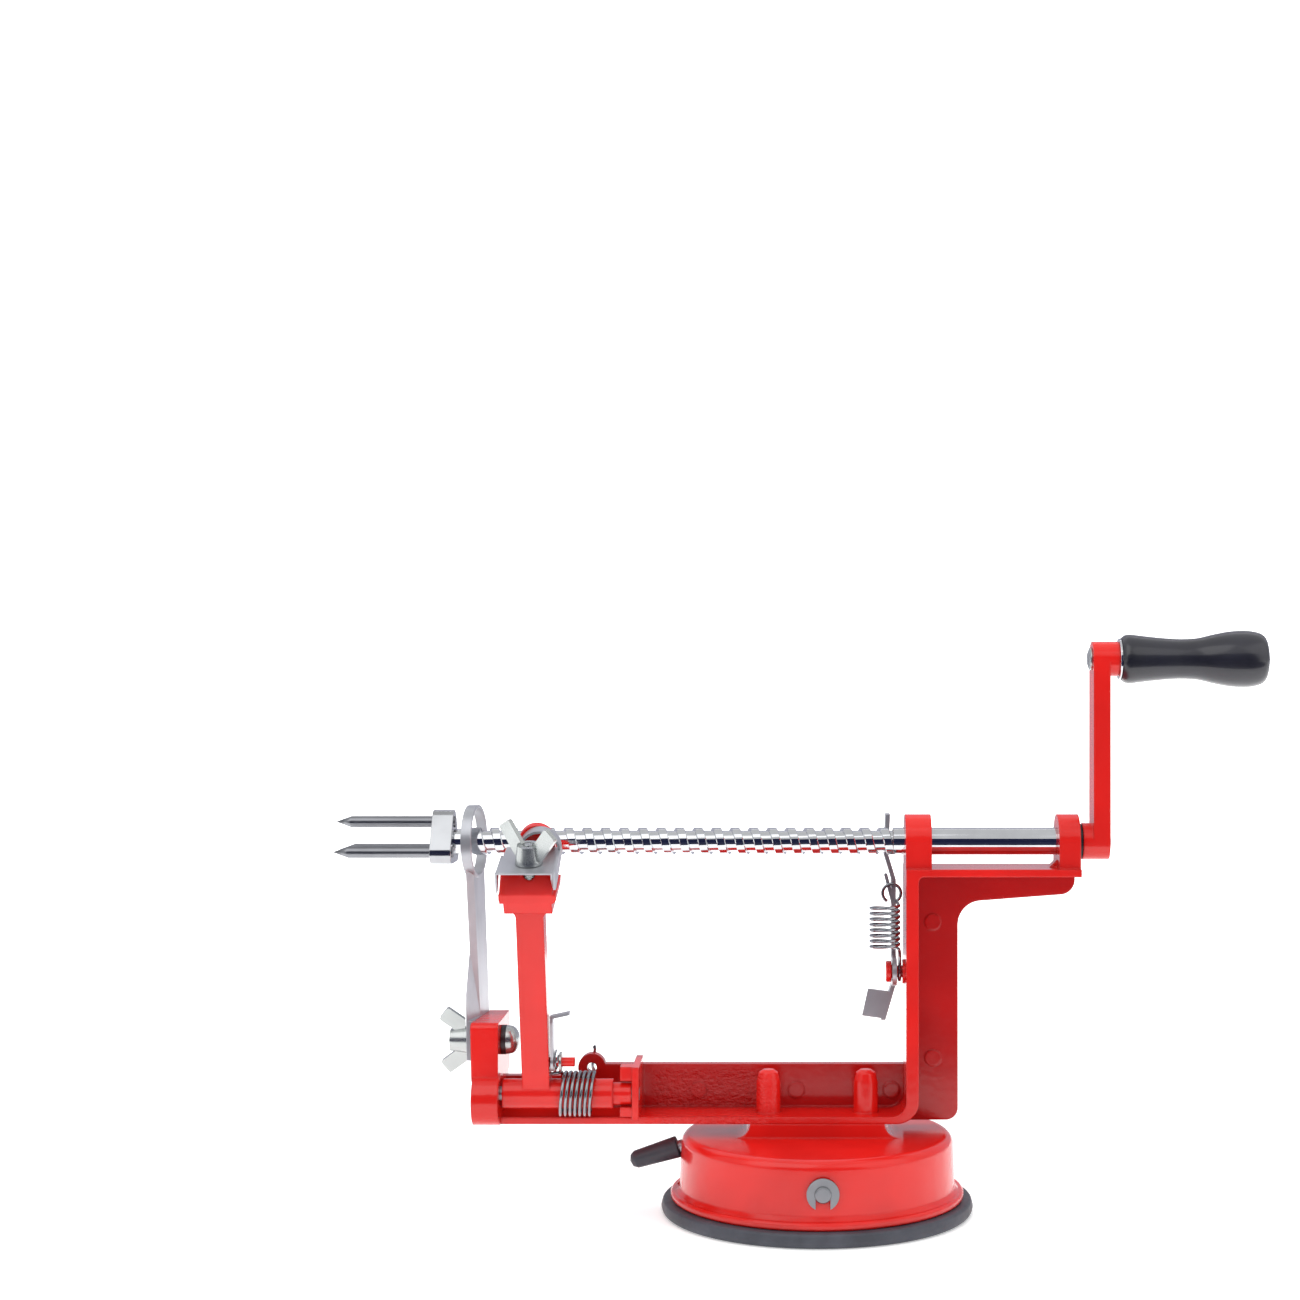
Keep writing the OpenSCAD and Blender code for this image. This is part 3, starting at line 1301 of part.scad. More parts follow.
module coring_blade() {
  rise = shaft_z - clamp_z;
  color(satin_steel) {
    blade_place() difference() {
      plate_x(-strip_t, 0) polygon([[-strip_bottom_w / 2, -blade_foot_h],
        [strip_bottom_w / 2, -blade_foot_h], [strip_bottom_w / 2, 0], [strip_top_w / 2, rise - ring_bore / 4],
        [-strip_top_w / 2, rise - ring_bore / 4], [-strip_bottom_w / 2, 0]]);
      translate([0, 0, rise]) bar_x(-2 * strip_t, strip_t, ring_bore + ring_t);
      bevel_cut(rise);
      plate_x(-2 * strip_t, strip_t) {
        link([clamp_y, 0], [clamp_y, -blade_slot_h / 4], bolt_d + 2 * soft_gap);
      }
    }
    coring_ring();
  }
}

// Wedge that sharpens the near edge of the blade, from above the lug up to the ring
module bevel_cut(rise) {
  foot_z = lug_h + bed_z - clamp_z + soft_gap;
  foot_y = -strip_bottom_w / 2;
  top_y = -strip_top_w / 2;
  far = foot_y - overrun;
  low_x = (edge_t - strip_t) * (1 + overrun / bevel_w);
  high_x = (edge_t - strip_t) * (1 + (top_y - far) / bevel_top_w);
  polyhedron(points=[[0, foot_y + bevel_w, foot_z], [low_x, far, foot_z], [strip_t, far, foot_z],
      [strip_t, foot_y + bevel_w, foot_z], [0, top_y + bevel_top_w, rise], [high_x, far, rise],
      [strip_t, far, rise], [strip_t, top_y + bevel_top_w, rise]],
    faces=[[0, 1, 2, 3], [7, 6, 5, 4], [3, 7, 4, 0], [2, 6, 7, 3], [1, 5, 6, 2], [5, 1, 0], [4, 5, 0]],
    convexity=4);
}

// Ring concentric with the shaft, turned with the blade
module coring_ring() {
  rise = shaft_z - clamp_z;
  x = lug_face_x - rise * sin(blade_lean) - strip_t / 2;
  translate([x, 0, shaft_z]) rotate([0, -blade_lean, 0]) rotate([0, 0, -blade_turn]) difference() {
    bar_x(-ring_l / 2, ring_l / 2, ring_bore + 2 * ring_t);
    bar_x(-ring_l, ring_l, ring_bore);
  }
}

module coring_bolt() {
  head_x = lug_right_x + washer_h;
  color(zinc_plate) translate([0, clamp_y, clamp_z])
    turned_x([[lug_face_x - strip_t - bolt_out, 0], [lug_face_x - strip_t - bolt_out, bolt_d / 2],
      [head_x, bolt_d / 2], [head_x, bolt_head_d / 2], [head_x + bolt_head_h * 0.3, bolt_head_d / 2],
      [head_x + bolt_head_h * 0.75, bolt_head_d * 0.38], [head_x + bolt_head_h, bolt_head_d * 0.16],
      [head_x + bolt_head_h, 0]]);
}

module bolt_washer() {
  color(dark_steel) translate([0, clamp_y, clamp_z]) difference() {
    bar_x(lug_right_x, lug_right_x + washer_h, bolt_washer_d);
    bar_x(lug_right_x - overrun, lug_right_x + washer_h + overrun, bolt_d + 2 * press_fit);
  }
}

module coring_wing_nut() {
  seat_x = lug_face_x - strip_t - nut_stand;
  color(zinc_plate) translate([seat_x, clamp_y, clamp_z]) rotate([0, -90, 0]) rotate([0, 0, low_nut_turn])
    wing_nut(bolt_d + 2 * running_fit, low_wing_h);
}

frame();
base_housing();
base_screws();
suction_pad();
lift_stem();
cam_pin();
cam_clips();
draw_pin();
suction_lever();
lever_sleeve();
feed_shaft();
fork_hub();
fork_tines();
thrust_washer();
crank_arm();
handle_spindle();
grip_washer();
handle_grip();
release_lever();
release_stud();
release_spring();
peeling_arm();
arm_pin();
arm_spring();
latch_lever();
latch_spring();
latch_washer();
blade_bracket();
peeling_blade();
blade_screw();
blade_wing_nut();
coring_blade();
coring_bolt();
bolt_washer();
coring_wing_nut();
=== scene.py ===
"""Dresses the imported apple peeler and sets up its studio, laid out as a Blender add-on."""
import math

import bmesh
import bpy
from mathutils import Matrix, Vector


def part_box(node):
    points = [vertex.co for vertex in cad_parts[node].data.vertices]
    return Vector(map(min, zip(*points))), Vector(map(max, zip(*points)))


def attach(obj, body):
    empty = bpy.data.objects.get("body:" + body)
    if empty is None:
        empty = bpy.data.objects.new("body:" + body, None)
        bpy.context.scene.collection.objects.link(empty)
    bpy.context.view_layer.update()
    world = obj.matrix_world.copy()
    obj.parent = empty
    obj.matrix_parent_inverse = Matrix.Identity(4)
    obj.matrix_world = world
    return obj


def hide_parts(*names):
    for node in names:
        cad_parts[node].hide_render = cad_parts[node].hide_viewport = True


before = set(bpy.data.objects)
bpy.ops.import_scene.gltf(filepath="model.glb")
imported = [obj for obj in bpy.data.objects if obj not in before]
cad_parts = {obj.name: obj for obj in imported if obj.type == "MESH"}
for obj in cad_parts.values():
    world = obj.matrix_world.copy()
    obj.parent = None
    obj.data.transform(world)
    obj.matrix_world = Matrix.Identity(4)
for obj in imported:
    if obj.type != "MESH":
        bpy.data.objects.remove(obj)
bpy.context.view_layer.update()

bl_info = {
    "name": "Apple peeler dressing",
    "version": (1, 0, 0),
    "blender": (4, 5, 0),
    "location": "3D View > Sidebar > Apple peeler",
    "description": "Dresses the packed apple peeler and sets up its studio",
    "category": "Object",
}

MM = 0.001


# Colours

def linear(colour):
    """Linear red, green and blue of an sRGB hex value."""
    shares = [int(colour[i:i + 2], 16) / 255 for i in (1, 3, 5)]
    return [s / 12.92 if s <= 0.04045 else ((s + 0.055) / 1.055) ** 2.4 for s in shares]


def opaque(colour, share=1.0):
    """Colour with alpha, darkened or lightened by a share."""
    return (*(min(v * share, 1) for v in colour), 1)


def darker(colour, share):
    """A share of a colour."""
    return [v * share for v in colour]


# Node trees

def add_node(tree, kind, *values, output=0, **named):
    """Adds a node and returns one of its outputs.

    A value or a link goes to an input, by its place or by its name. A name that is no input is a setting.
    """
    node = tree.nodes.new(kind)
    names = [s.name.lower().replace(" ", "_") for s in node.inputs]
    for key, value in named.items():
        if key not in names:
            setattr(node, key, value)
    filled = list(enumerate(values))
    for key, value in named.items():
        if key in names:
            place = next(i for i, s in enumerate(node.inputs) if names[i] == key and s.enabled)
            filled.append((place, value))
    for place, value in filled:
        if isinstance(value, bpy.types.NodeSocket):
            tree.links.new(value, node.inputs[place])
        else:
            node.inputs[place].default_value = value
    return node.outputs[output]


MATH = "ShaderNodeMath"
RANGE = "ShaderNodeMapRange"
NOISE = "ShaderNodeTexNoise"


# Finishes

MATERIALS = {}
PAINT_EDGE = 0.0009
EDGE_SAMPLES = 6
EVEN = (1, 1, 1)


def finish(name, colour, relief, clouds=None, gloss=None, stretch=EVEN, grit=0.5, edge=0.0, **shader_values):
    """A surface with a fine relief and, where given, a tone in clouds and an uneven gloss.

    Each pattern starts with its size in millimetres and its detail. Relief goes on with its depth in
    millimetres and its strength, clouds with the noise values and the shares of the colour that they run
    between, and gloss with two roughnesses. The stretch draws out relief and gloss, and grit is the
    roughness of the clouds. The edge is the radius in metres to which paint rounds every corner.
    """
    mat = bpy.data.materials.new(name)
    mat.use_nodes = True
    tree = mat.node_tree
    shader = tree.nodes["Principled BSDF"]
    shader.inputs["Base Color"].default_value = opaque(colour)
    for key, value in shader_values.items():
        shader.inputs[key.replace("_", " ")].default_value = value
    place = add_node(tree, "ShaderNodeTexCoord", output="Object")
    along = add_node(tree, "ShaderNodeMapping", vector=place, scale=stretch)
    if clouds:
        size, detail, low, high, dim, pale = clouds
        cloudy = add_node(tree, NOISE, vector=place, scale=1 / (size * MM), detail=detail, roughness=grit)
        share = add_node(tree, RANGE, value=cloudy, from_min=low, from_max=high)
        tone = add_node(tree, "ShaderNodeMix", data_type="RGBA", factor=share, a=opaque(colour, dim),
                        b=opaque(colour, pale), output="Result")
        tree.links.new(tone, shader.inputs["Base Color"])
    if gloss:
        size, detail, low, high = gloss
        wavering = add_node(tree, NOISE, vector=along, scale=1 / (size * MM), detail=detail)
        uneven = add_node(tree, RANGE, value=wavering, to_min=low, to_max=high)
        tree.links.new(uneven, shader.inputs["Roughness"])
    size, detail, depth, strength = relief
    height = add_node(tree, NOISE, vector=along, scale=1 / (size * MM), detail=detail)
    skin = add_node(tree, "ShaderNodeBump", height=height, distance=depth * MM, strength=strength)
    if edge:
        corner = add_node(tree, "ShaderNodeBevel", samples=EDGE_SAMPLES, radius=edge)
        tree.links.new(corner, skin.node.inputs["Normal"])
    tree.links.new(skin, shader.inputs["Normal"])
    return mat


def enamel(name, colour):
    """Baked gloss enamel on a casting: the dip leaves it slightly wavy and fills every corner and edge."""
    return finish(name, colour, relief=(2.38, 2, 0.05, 0.5), clouds=(26.3, 2, 0.35, 0.62, 0.84, 1),
                  gloss=(6.25, 3, 0.13, 0.23), edge=PAINT_EDGE, Roughness=0.17, Coat_Weight=0.15,
                  Coat_Roughness=0.07, IOR=1.48)


# Painted shade in the frame's recesses, such as the web behind the flanges: it starts this far back and is
# full from there, in millimetres, and darkens the colour by these shares
PAINTED_SHADE_FRONT = 2
PAINTED_SHADE_BACK = 7
PAINTED_SHADE_SHARES = (0.66, 0.60, 0.75, 1)

# The sand's coarse skin inside the bed: along each axis, where it starts and where it is full, in millimetres
COARSE_SPANS = (("X", -58.5, -50), ("X", -8, -22), ("Y", 8.5, 7.2), ("Z", 46.5, 44))
COARSE_SIZE = 1.61
COARSE_DEPTH = 1.1
COARSE_STRETCH = (1, 1, 1.4)
# Heights that the smooth enamel keeps round the coarse skin, which runs from 0 to 1
CALM = (0.47, 0.53)


def sand_cast(mat):
    """Adds painted shade in the recesses and, inside the bed, the coarse skin that the sand left under the
    enamel.
    """
    tree = mat.node_tree
    shader = tree.nodes["Principled BSDF"]
    tone = shader.inputs["Base Color"].links[0].from_socket
    skin = shader.inputs["Normal"].links[0].from_node
    peel = skin.inputs["Height"].links[0].from_socket
    place = add_node(tree, "ShaderNodeTexCoord", output="Object")
    axes = add_node(tree, "ShaderNodeSeparateXYZ", vector=place).node.outputs
    # Painted shade: the colour darkens further back, in the recesses behind the flanges
    depth = add_node(tree, RANGE, value=axes["Y"], from_min=PAINTED_SHADE_FRONT * MM, from_max=PAINTED_SHADE_BACK * MM,
                     interpolation_type="SMOOTHSTEP")
    painted_shade_tone = add_node(tree, "ShaderNodeMix", data_type="RGBA", blend_type="MULTIPLY", factor=depth, a=tone,
                      b=PAINTED_SHADE_SHARES, output="Result")
    tree.links.new(painted_shade_tone, shader.inputs["Base Color"])
    inside = 1.0
    for axis, start, full in COARSE_SPANS:
        fade = add_node(tree, RANGE, value=axes[axis], from_min=start * MM, from_max=full * MM,
                        interpolation_type="SMOOTHSTEP")
        inside = add_node(tree, MATH, inside, fade, operation="MULTIPLY")
    along = add_node(tree, "ShaderNodeMapping", vector=place, scale=COARSE_STRETCH)
    pits = add_node(tree, NOISE, vector=along, scale=1 / (COARSE_SIZE * MM), detail=3, roughness=0.62)
    calm = add_node(tree, RANGE, value=peel, to_min=CALM[0], to_max=CALM[1])
    height = add_node(tree, "ShaderNodeMix", data_type="FLOAT", factor=inside, a=calm, b=pits)
    tree.links.new(height, skin.inputs["Height"])
    skin.inputs["Distance"].default_value = COARSE_DEPTH * MM
    skin.inputs["Strength"].default_value = 1
    return mat


def metal(name, colour, roughness, streak=0.1, brushed=None, metallic=1.0):
    """Plated or bare metal: even, or with fine streaks along the brushed way. Satin is less metallic."""
    size = 1.11 if brushed else 2
    depth = 0.02 if brushed else 0.004
    smoothest = max(roughness - streak, 0.03)
    return finish(name, colour, relief=(size, 4, depth, 0.6), clouds=(11.1, 3, 0.3, 0.65, 0.84, 1),
                  gloss=(size, 4, smoothest, roughness + streak), stretch=brushed or EVEN,
                  Metallic=metallic, Roughness=roughness)


def rubber(name, colour, roughness):
    """Moulded rubber: a dull grain with paler dust in it."""
    return finish(name, colour, relief=(1.11, 3, 0.06, 0.7), clouds=(14.3, 5, 0.42, 0.75, 1, 1.6),
                  gloss=(3.85, 3, roughness - 0.1, roughness + 0.12), grit=0.6, Roughness=roughness, IOR=1.45)


def lacquer(name, colour):
    """Dipped lacquer over turned wood: soft highlights that waver a little."""
    return finish(name, colour, relief=(3.33, 2, 0.04, 0.5), clouds=(16.7, 4, 0.4, 0.8, 1, 1.9),
                  gloss=(5.26, 4, 0.24, 0.42), Roughness=0.32, Coat_Weight=0.6, Coat_Roughness=0.12, IOR=1.5)


def studio_card(name, colour, roughness, **shader_values):
    """Painted card or paper of the studio, with a faint grain."""
    return finish(name, colour, relief=(16.7, 3, 0.2, 0.2), Roughness=roughness, **shader_values)


# Mesh pieces

def dress(node, mat_name):
    """Gives a shown CAD node its material."""
    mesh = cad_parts[node].data
    mesh.materials.clear()
    mesh.materials.append(MATERIALS[mat_name])


def link(obj):
    """Puts an object into the scene."""
    bpy.context.scene.collection.objects.link(obj)
    return obj


def shade(mesh, angle):
    """Smooth shading, with edges sharper than the angle kept sharp."""
    for polygon in mesh.polygons:
        polygon.use_smooth = True
    mesh.set_sharp_from_angle(angle=math.radians(angle))


def baked(obj):
    """Replaces the object by a plain mesh of its evaluated shape, without modifiers."""
    graph = bpy.context.evaluated_depsgraph_get()
    mesh = bpy.data.meshes.new_from_object(obj.evaluated_get(graph))
    name = obj.name
    bpy.data.objects.remove(obj)
    mesh.name = name
    return link(bpy.data.objects.new(name, mesh))


def settle(obj, nodes, mat_name, body):
    """Finishes a piece that stands for CAD nodes: material and body."""
    obj.data.materials.clear()
    obj.data.materials.append(MATERIALS[mat_name])
    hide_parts(*nodes)
    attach(obj, body)
    return obj


# Faces that meet flatter than the first angle, in degrees, count as one. Edges sharper than the second
# are rounded
FLAT = 0.5
SHARP = 30

# Angles in degrees up to which CAD pieces and springs, turned pieces and threaded ones are shaded smooth
PIECE_SHADE = 50
TURNED_SHADE = 40
THREAD_SHADE = 32

# Points closer than this, in metres, become one: on CAD pieces, threads and turned pieces
CAD_MERGE = 0.000002
THREAD_MERGE = 0.000001
TURNED_MERGE = 0.0000005

# Sine of the angle up to which two sharp edges run on in line, and the share of the room beside an
# edge that its rounding may take
IN_LINE = 0.4
ROOM_SHARE = 0.42
EDGE_SEGMENTS = 3


def edge_room(bm, width):
    """Weighs each sharp edge by the room beside it, so that small forms keep their shape."""
    weight = bm.edges.layers.float.new("bevel_weight_edge")
    sharp = {e for e in bm.edges
             if len(e.link_faces) == 2 and e.calc_face_angle(0) > math.radians(SHARP)}
    for edge in sharp:
        room = width
        for vert in edge.verts:
            run = (edge.other_vert(vert).co - vert.co).normalized()
            for other in vert.link_edges:
                side = other.other_vert(vert).co - vert.co
                across = side.cross(run).length
                in_line = other in sharp and across < IN_LINE * side.length
                if other is not edge and not in_line:
                    room = min(room, ROOM_SHARE * across)
        edge[weight] = room / width


def soft_edges(node, width, mat_name, body):
    """A copy of a CAD node with small rounded edges, as cast, moulded or tumbled."""
    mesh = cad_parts[node].data.copy()
    mesh.name = node + "_finish"
    bm = bmesh.new()
    bm.from_mesh(mesh)
    bmesh.ops.remove_doubles(bm, verts=bm.verts, dist=CAD_MERGE)
    bmesh.ops.dissolve_limit(bm, angle_limit=math.radians(FLAT), verts=bm.verts, edges=bm.edges)
    edge_room(bm, width)
    bm.to_mesh(mesh)
    bm.free()
    shade(mesh, PIECE_SHADE)
    obj = link(bpy.data.objects.new(node + "_finish", mesh))
    edges = obj.modifiers.new("edges", "BEVEL")
    edges.width = width
    edges.segments = EDGE_SEGMENTS
    edges.limit_method = "WEIGHT"
    edges.use_clamp_overlap = True
    smooth = obj.modifiers.new("smooth", "WEIGHTED_NORMAL")
    smooth.keep_sharp = True
    return settle(baked(obj), [node], mat_name, body)


# Geometry node trees

def socket(tree, name, kind, default=None):
    """Adds a named input to a node group."""
    item = tree.interface.new_socket(name, in_out="INPUT", socket_type=kind)
    if default is not None:
        item.default_value = default
    return item


def new_tree(name):
    """A geometry node group with a geometry input and output."""
    tree = bpy.data.node_groups.new(name, "GeometryNodeTree")
    tree.interface.new_socket("Geometry", in_out="INPUT", socket_type="NodeSocketGeometry")
    tree.interface.new_socket("Geometry", in_out="OUTPUT", socket_type="NodeSocketGeometry")
    return tree


def finish_tree(tree, geometry, given):
    """Ends a tree in Realize Instances and Set Material."""
    real = add_node(tree, "GeometryNodeRealizeInstances", geometry=geometry)
    painted = add_node(tree, "GeometryNodeSetMaterial", geometry=real, material=given["Material"])
    out = tree.nodes.new("NodeGroupOutput")
    tree.links.new(painted, out.inputs[0])
    return tree


# Turns of a thread's surface made before its start and past its end, where they lie flat on its ends
TURNS_BEFORE = 2
TURNS_SPARE = 3


def thread_tree(name, places, heights):
    """Surface of a screw thread: places and heights give one pitch of its outline, as shares.

    A grid has one row for each step of the turn and one column for each point of the outline.
    """
    tree = new_tree(name)
    for key, default in (("Radius", 0.0045), ("Depth", 0.001), ("Pitch", 0.006), ("Start", 0.0), ("End", 0.1),
                         ("Ridge start", 0.0), ("Phase", 0.0)):
        socket(tree, key, "NodeSocketFloat", default)
    socket(tree, "Steps", "NodeSocketInt", 48)
    socket(tree, "Place", "NodeSocketVector")
    socket(tree, "Rotation", "NodeSocketRotation")
    socket(tree, "Material", "NodeSocketMaterial")
    given = tree.nodes.new("NodeGroupInput").outputs
    columns = len(places)
    span = add_node(tree, MATH, given["End"], given["Start"], operation="SUBTRACT")
    turns = add_node(tree, MATH, span, given["Pitch"], operation="DIVIDE")
    turns = add_node(tree, MATH, turns, TURNS_SPARE, operation="ADD")
    rows = add_node(tree, MATH, turns, given["Steps"], operation="MULTIPLY")
    grid = add_node(tree, "GeometryNodeMeshGrid", vertices_x=rows, vertices_y=columns)

    # Row and column of each point, from its index. The small part keeps whole numbers from falling short
    index = add_node(tree, "GeometryNodeInputIndex")
    row = add_node(tree, MATH, index, 0.01, operation="ADD")
    row = add_node(tree, MATH, row, columns, operation="DIVIDE")
    row = add_node(tree, MATH, row, operation="FLOOR")
    column = add_node(tree, MATH, row, columns, operation="MULTIPLY")
    column = add_node(tree, MATH, index, column, operation="SUBTRACT")
    share = add_node(tree, MATH, column, columns - 1, operation="DIVIDE")

    # Outline's places and heights, looked up along straight lines
    outline = []
    for shares in (places, heights):
        looked_up = add_node(tree, "ShaderNodeFloatCurve", value=share)
        mapping = looked_up.node.mapping
        points = mapping.curves[0].points
        while len(points) < columns:
            points.new(0.5, 0.5)
        for i, (point, value) in enumerate(zip(points, shares)):
            point.location = (i / (columns - 1), value)
            point.handle_type = "VECTOR"
        mapping.update()
        outline.append(looked_up)

    turn = add_node(tree, MATH, row, given["Steps"], operation="DIVIDE")
    turn = add_node(tree, MATH, turn, TURNS_BEFORE, operation="SUBTRACT")
    x = add_node(tree, MATH, turn, given["Pitch"], given["Ridge start"], operation="MULTIPLY_ADD")
    x = add_node(tree, MATH, outline[0], given["Pitch"], x, operation="MULTIPLY_ADD")
    x = add_node(tree, MATH, x, given["Start"], operation="MAXIMUM")
    x = add_node(tree, MATH, x, given["End"], operation="MINIMUM")
    low = add_node(tree, MATH, given["Radius"], given["Depth"], operation="SUBTRACT")
    radius = add_node(tree, MATH, outline[1], given["Depth"], low, operation="MULTIPLY_ADD")
    angle = add_node(tree, MATH, turn, 2 * math.pi, given["Phase"], operation="MULTIPLY_ADD")
    spot = [x]
    for side in ("COSINE", "SINE"):
        reach = add_node(tree, MATH, angle, operation=side)
        spot.append(add_node(tree, MATH, radius, reach, operation="MULTIPLY"))
    spot = add_node(tree, "ShaderNodeCombineXYZ", *spot)
    moved = add_node(tree, "GeometryNodeSetPosition", geometry=grid, position=spot)
    moved = add_node(tree, "GeometryNodeMergeByDistance", geometry=moved, distance=THREAD_MERGE)
    placed = add_node(tree, "GeometryNodeTransform", geometry=moved, translation=given["Place"],
                      rotation=given["Rotation"])
    return finish_tree(tree, placed, given)


def wire_tree():
    """Round wire swept along the object's own curve."""
    tree = new_tree("peeler_wire")
    socket(tree, "Wire radius", "NodeSocketFloat", 0.0005)
    socket(tree, "Sides", "NodeSocketInt", 12)
    socket(tree, "Material", "NodeSocketMaterial")
    given = tree.nodes.new("NodeGroupInput").outputs
    ring = add_node(tree, "GeometryNodeCurvePrimitiveCircle", resolution=given["Sides"],
                    radius=given["Wire radius"])
    swept = add_node(tree, "GeometryNodeCurveToMesh", curve=given["Geometry"], profile_curve=ring,
                     fill_caps=True)
    return finish_tree(tree, swept, given)


def use_tree(obj, tree, values):
    """Adds a geometry node modifier and sets its inputs by their sockets' identifiers."""
    mod = obj.modifiers.new(tree.name, "NODES")
    mod.node_group = tree
    names = {item.name: item.identifier for item in tree.interface.items_tree if item.in_out == "INPUT"}
    for key, value in values.items():
        mod[names[key]] = value
    return obj


def wound(name, path, radius, tree, nodes, mat_name, body):
    """A wound wire along a path of points, in metres."""
    data = bpy.data.curves.new(name, "CURVE")
    data.dimensions = "3D"
    spline = data.splines.new("POLY")
    spline.points.add(len(path) - 1)
    for point, place in zip(spline.points, path):
        point.co = (*place, 1)
    obj = link(bpy.data.objects.new(name, data))
    use_tree(obj, tree, {"Wire radius": radius, "Material": MATERIALS[mat_name]})
    obj = baked(obj)
    shade(obj.data, PIECE_SHADE)
    return settle(obj, nodes, mat_name, body)


def rounded(points, turns=2):
    """A path with its corners cut by repeated quarter points."""
    for _ in range(turns):
        cut = [points[0]]
        for a, b in zip(points, points[1:]):
            cut += [a.lerp(b, 0.25), a.lerp(b, 0.75)]
        points = cut + [points[-1]]
    return points


def lathe_x(name, profile, height, sides=96):
    """A mesh turned about a line along X at the given height, from (x, radius) points in metres."""
    mesh = bpy.data.meshes.new(name)
    verts = []
    for x, r in profile:
        verts += [(x, r * math.cos(2 * math.pi * k / sides), height + r * math.sin(2 * math.pi * k / sides))
                  for k in range(sides)]
    faces = []
    for first in range(0, (len(profile) - 1) * sides, sides):
        for k in range(sides):
            after = (k + 1) % sides
            faces.append((first + k, first + after, first + sides + after, first + sides + k))
    mesh.from_pydata(verts, [], faces)
    bm = bmesh.new()
    bm.from_mesh(mesh)
    bmesh.ops.remove_doubles(bm, verts=bm.verts, dist=TURNED_MERGE)
    bmesh.ops.recalc_face_normals(bm, faces=bm.faces)
    bm.to_mesh(mesh)
    bm.free()
    shade(mesh, TURNED_SHADE)
    return link(bpy.data.objects.new(name, mesh))


def joined(name, parts):
    """One object made from several."""
    bm = bmesh.new()
    for part in parts:
        bm.from_mesh(part.data)
        bpy.data.objects.remove(part)
    mesh = bpy.data.meshes.new(name)
    bm.to_mesh(mesh)
    bm.free()
    return link(bpy.data.objects.new(name, mesh))


def smooth_line(points, per=6):
    """Catmull-Rom line through (x, y) points."""
    ends = [points[0]] + points + [points[-1]]
    out = []
    for i in range(1, len(ends) - 2):
        p0, p1, p2, p3 = (Vector(ends[i + k]) for k in (-1, 0, 1, 2))
        for j in range(per):
            t = j / per
            out.append(tuple(0.5 * ((2 * p1) + (p2 - p0) * t + (2 * p0 - 5 * p1 + 4 * p2 - p3) * t * t
                                    + (3 * p1 - p0 - 3 * p2 + p3) * t ** 3)))
    return out + [points[-1]]


# Colours and sizes that the panel shows

def colour_choice(name, description, default):
    """A colour property, from an sRGB hex value."""
    return bpy.props.FloatVectorProperty(name=name, description=description, size=3, subtype="COLOR",
                                         default=linear(default))


class PeelerColours(bpy.types.PropertyGroup):
    """Colours of the finishes"""
    enamel: colour_choice("Enamel", "Colour of the castings", "#DF1D17")
    rubber: colour_choice("Rubber", "Colour of the pad and the lever's sleeve", "#3F4149")
    grip: colour_choice("Grip", "Colour of the grip's lacquer", "#181822")
    chrome: colour_choice("Chrome", "Colour of the shaft's plating", "#DEE0E4")
    steel: colour_choice("Steel", "Colour of the stamped steel pieces", "#BEC0C6")
    zinc: colour_choice("Zinc", "Colour of the fasteners' plating", "#C4C8C7")


def length(name, description, default):
    """A length property in metres."""
    return bpy.props.FloatProperty(name=name, description=description, default=default, unit="LENGTH",
                                   precision=5, min=0.0)


class PeelerSizes(bpy.types.PropertyGroup):
    """Sizes of the details"""
    cast_edge: length("Cast edges", "Radius of the castings' edges", 0.0008)
    small_edge: length("Steel edges", "Radius of the edges of the small steel pieces", 0.00018)
    pitch: length("Thread pitch", "Pitch of the feed shaft's thread", 0.0061)
    screw_pitch: length("Screw pitch", "Pitch of the two bolts", 0.0007)


# Streaks are drawn out along Z where stamped steel was brushed, and along X on the drawn tines
BRUSHED_UP = (1, 1, 0.04)
DRAWN_ALONG = (0.03, 1, 1)


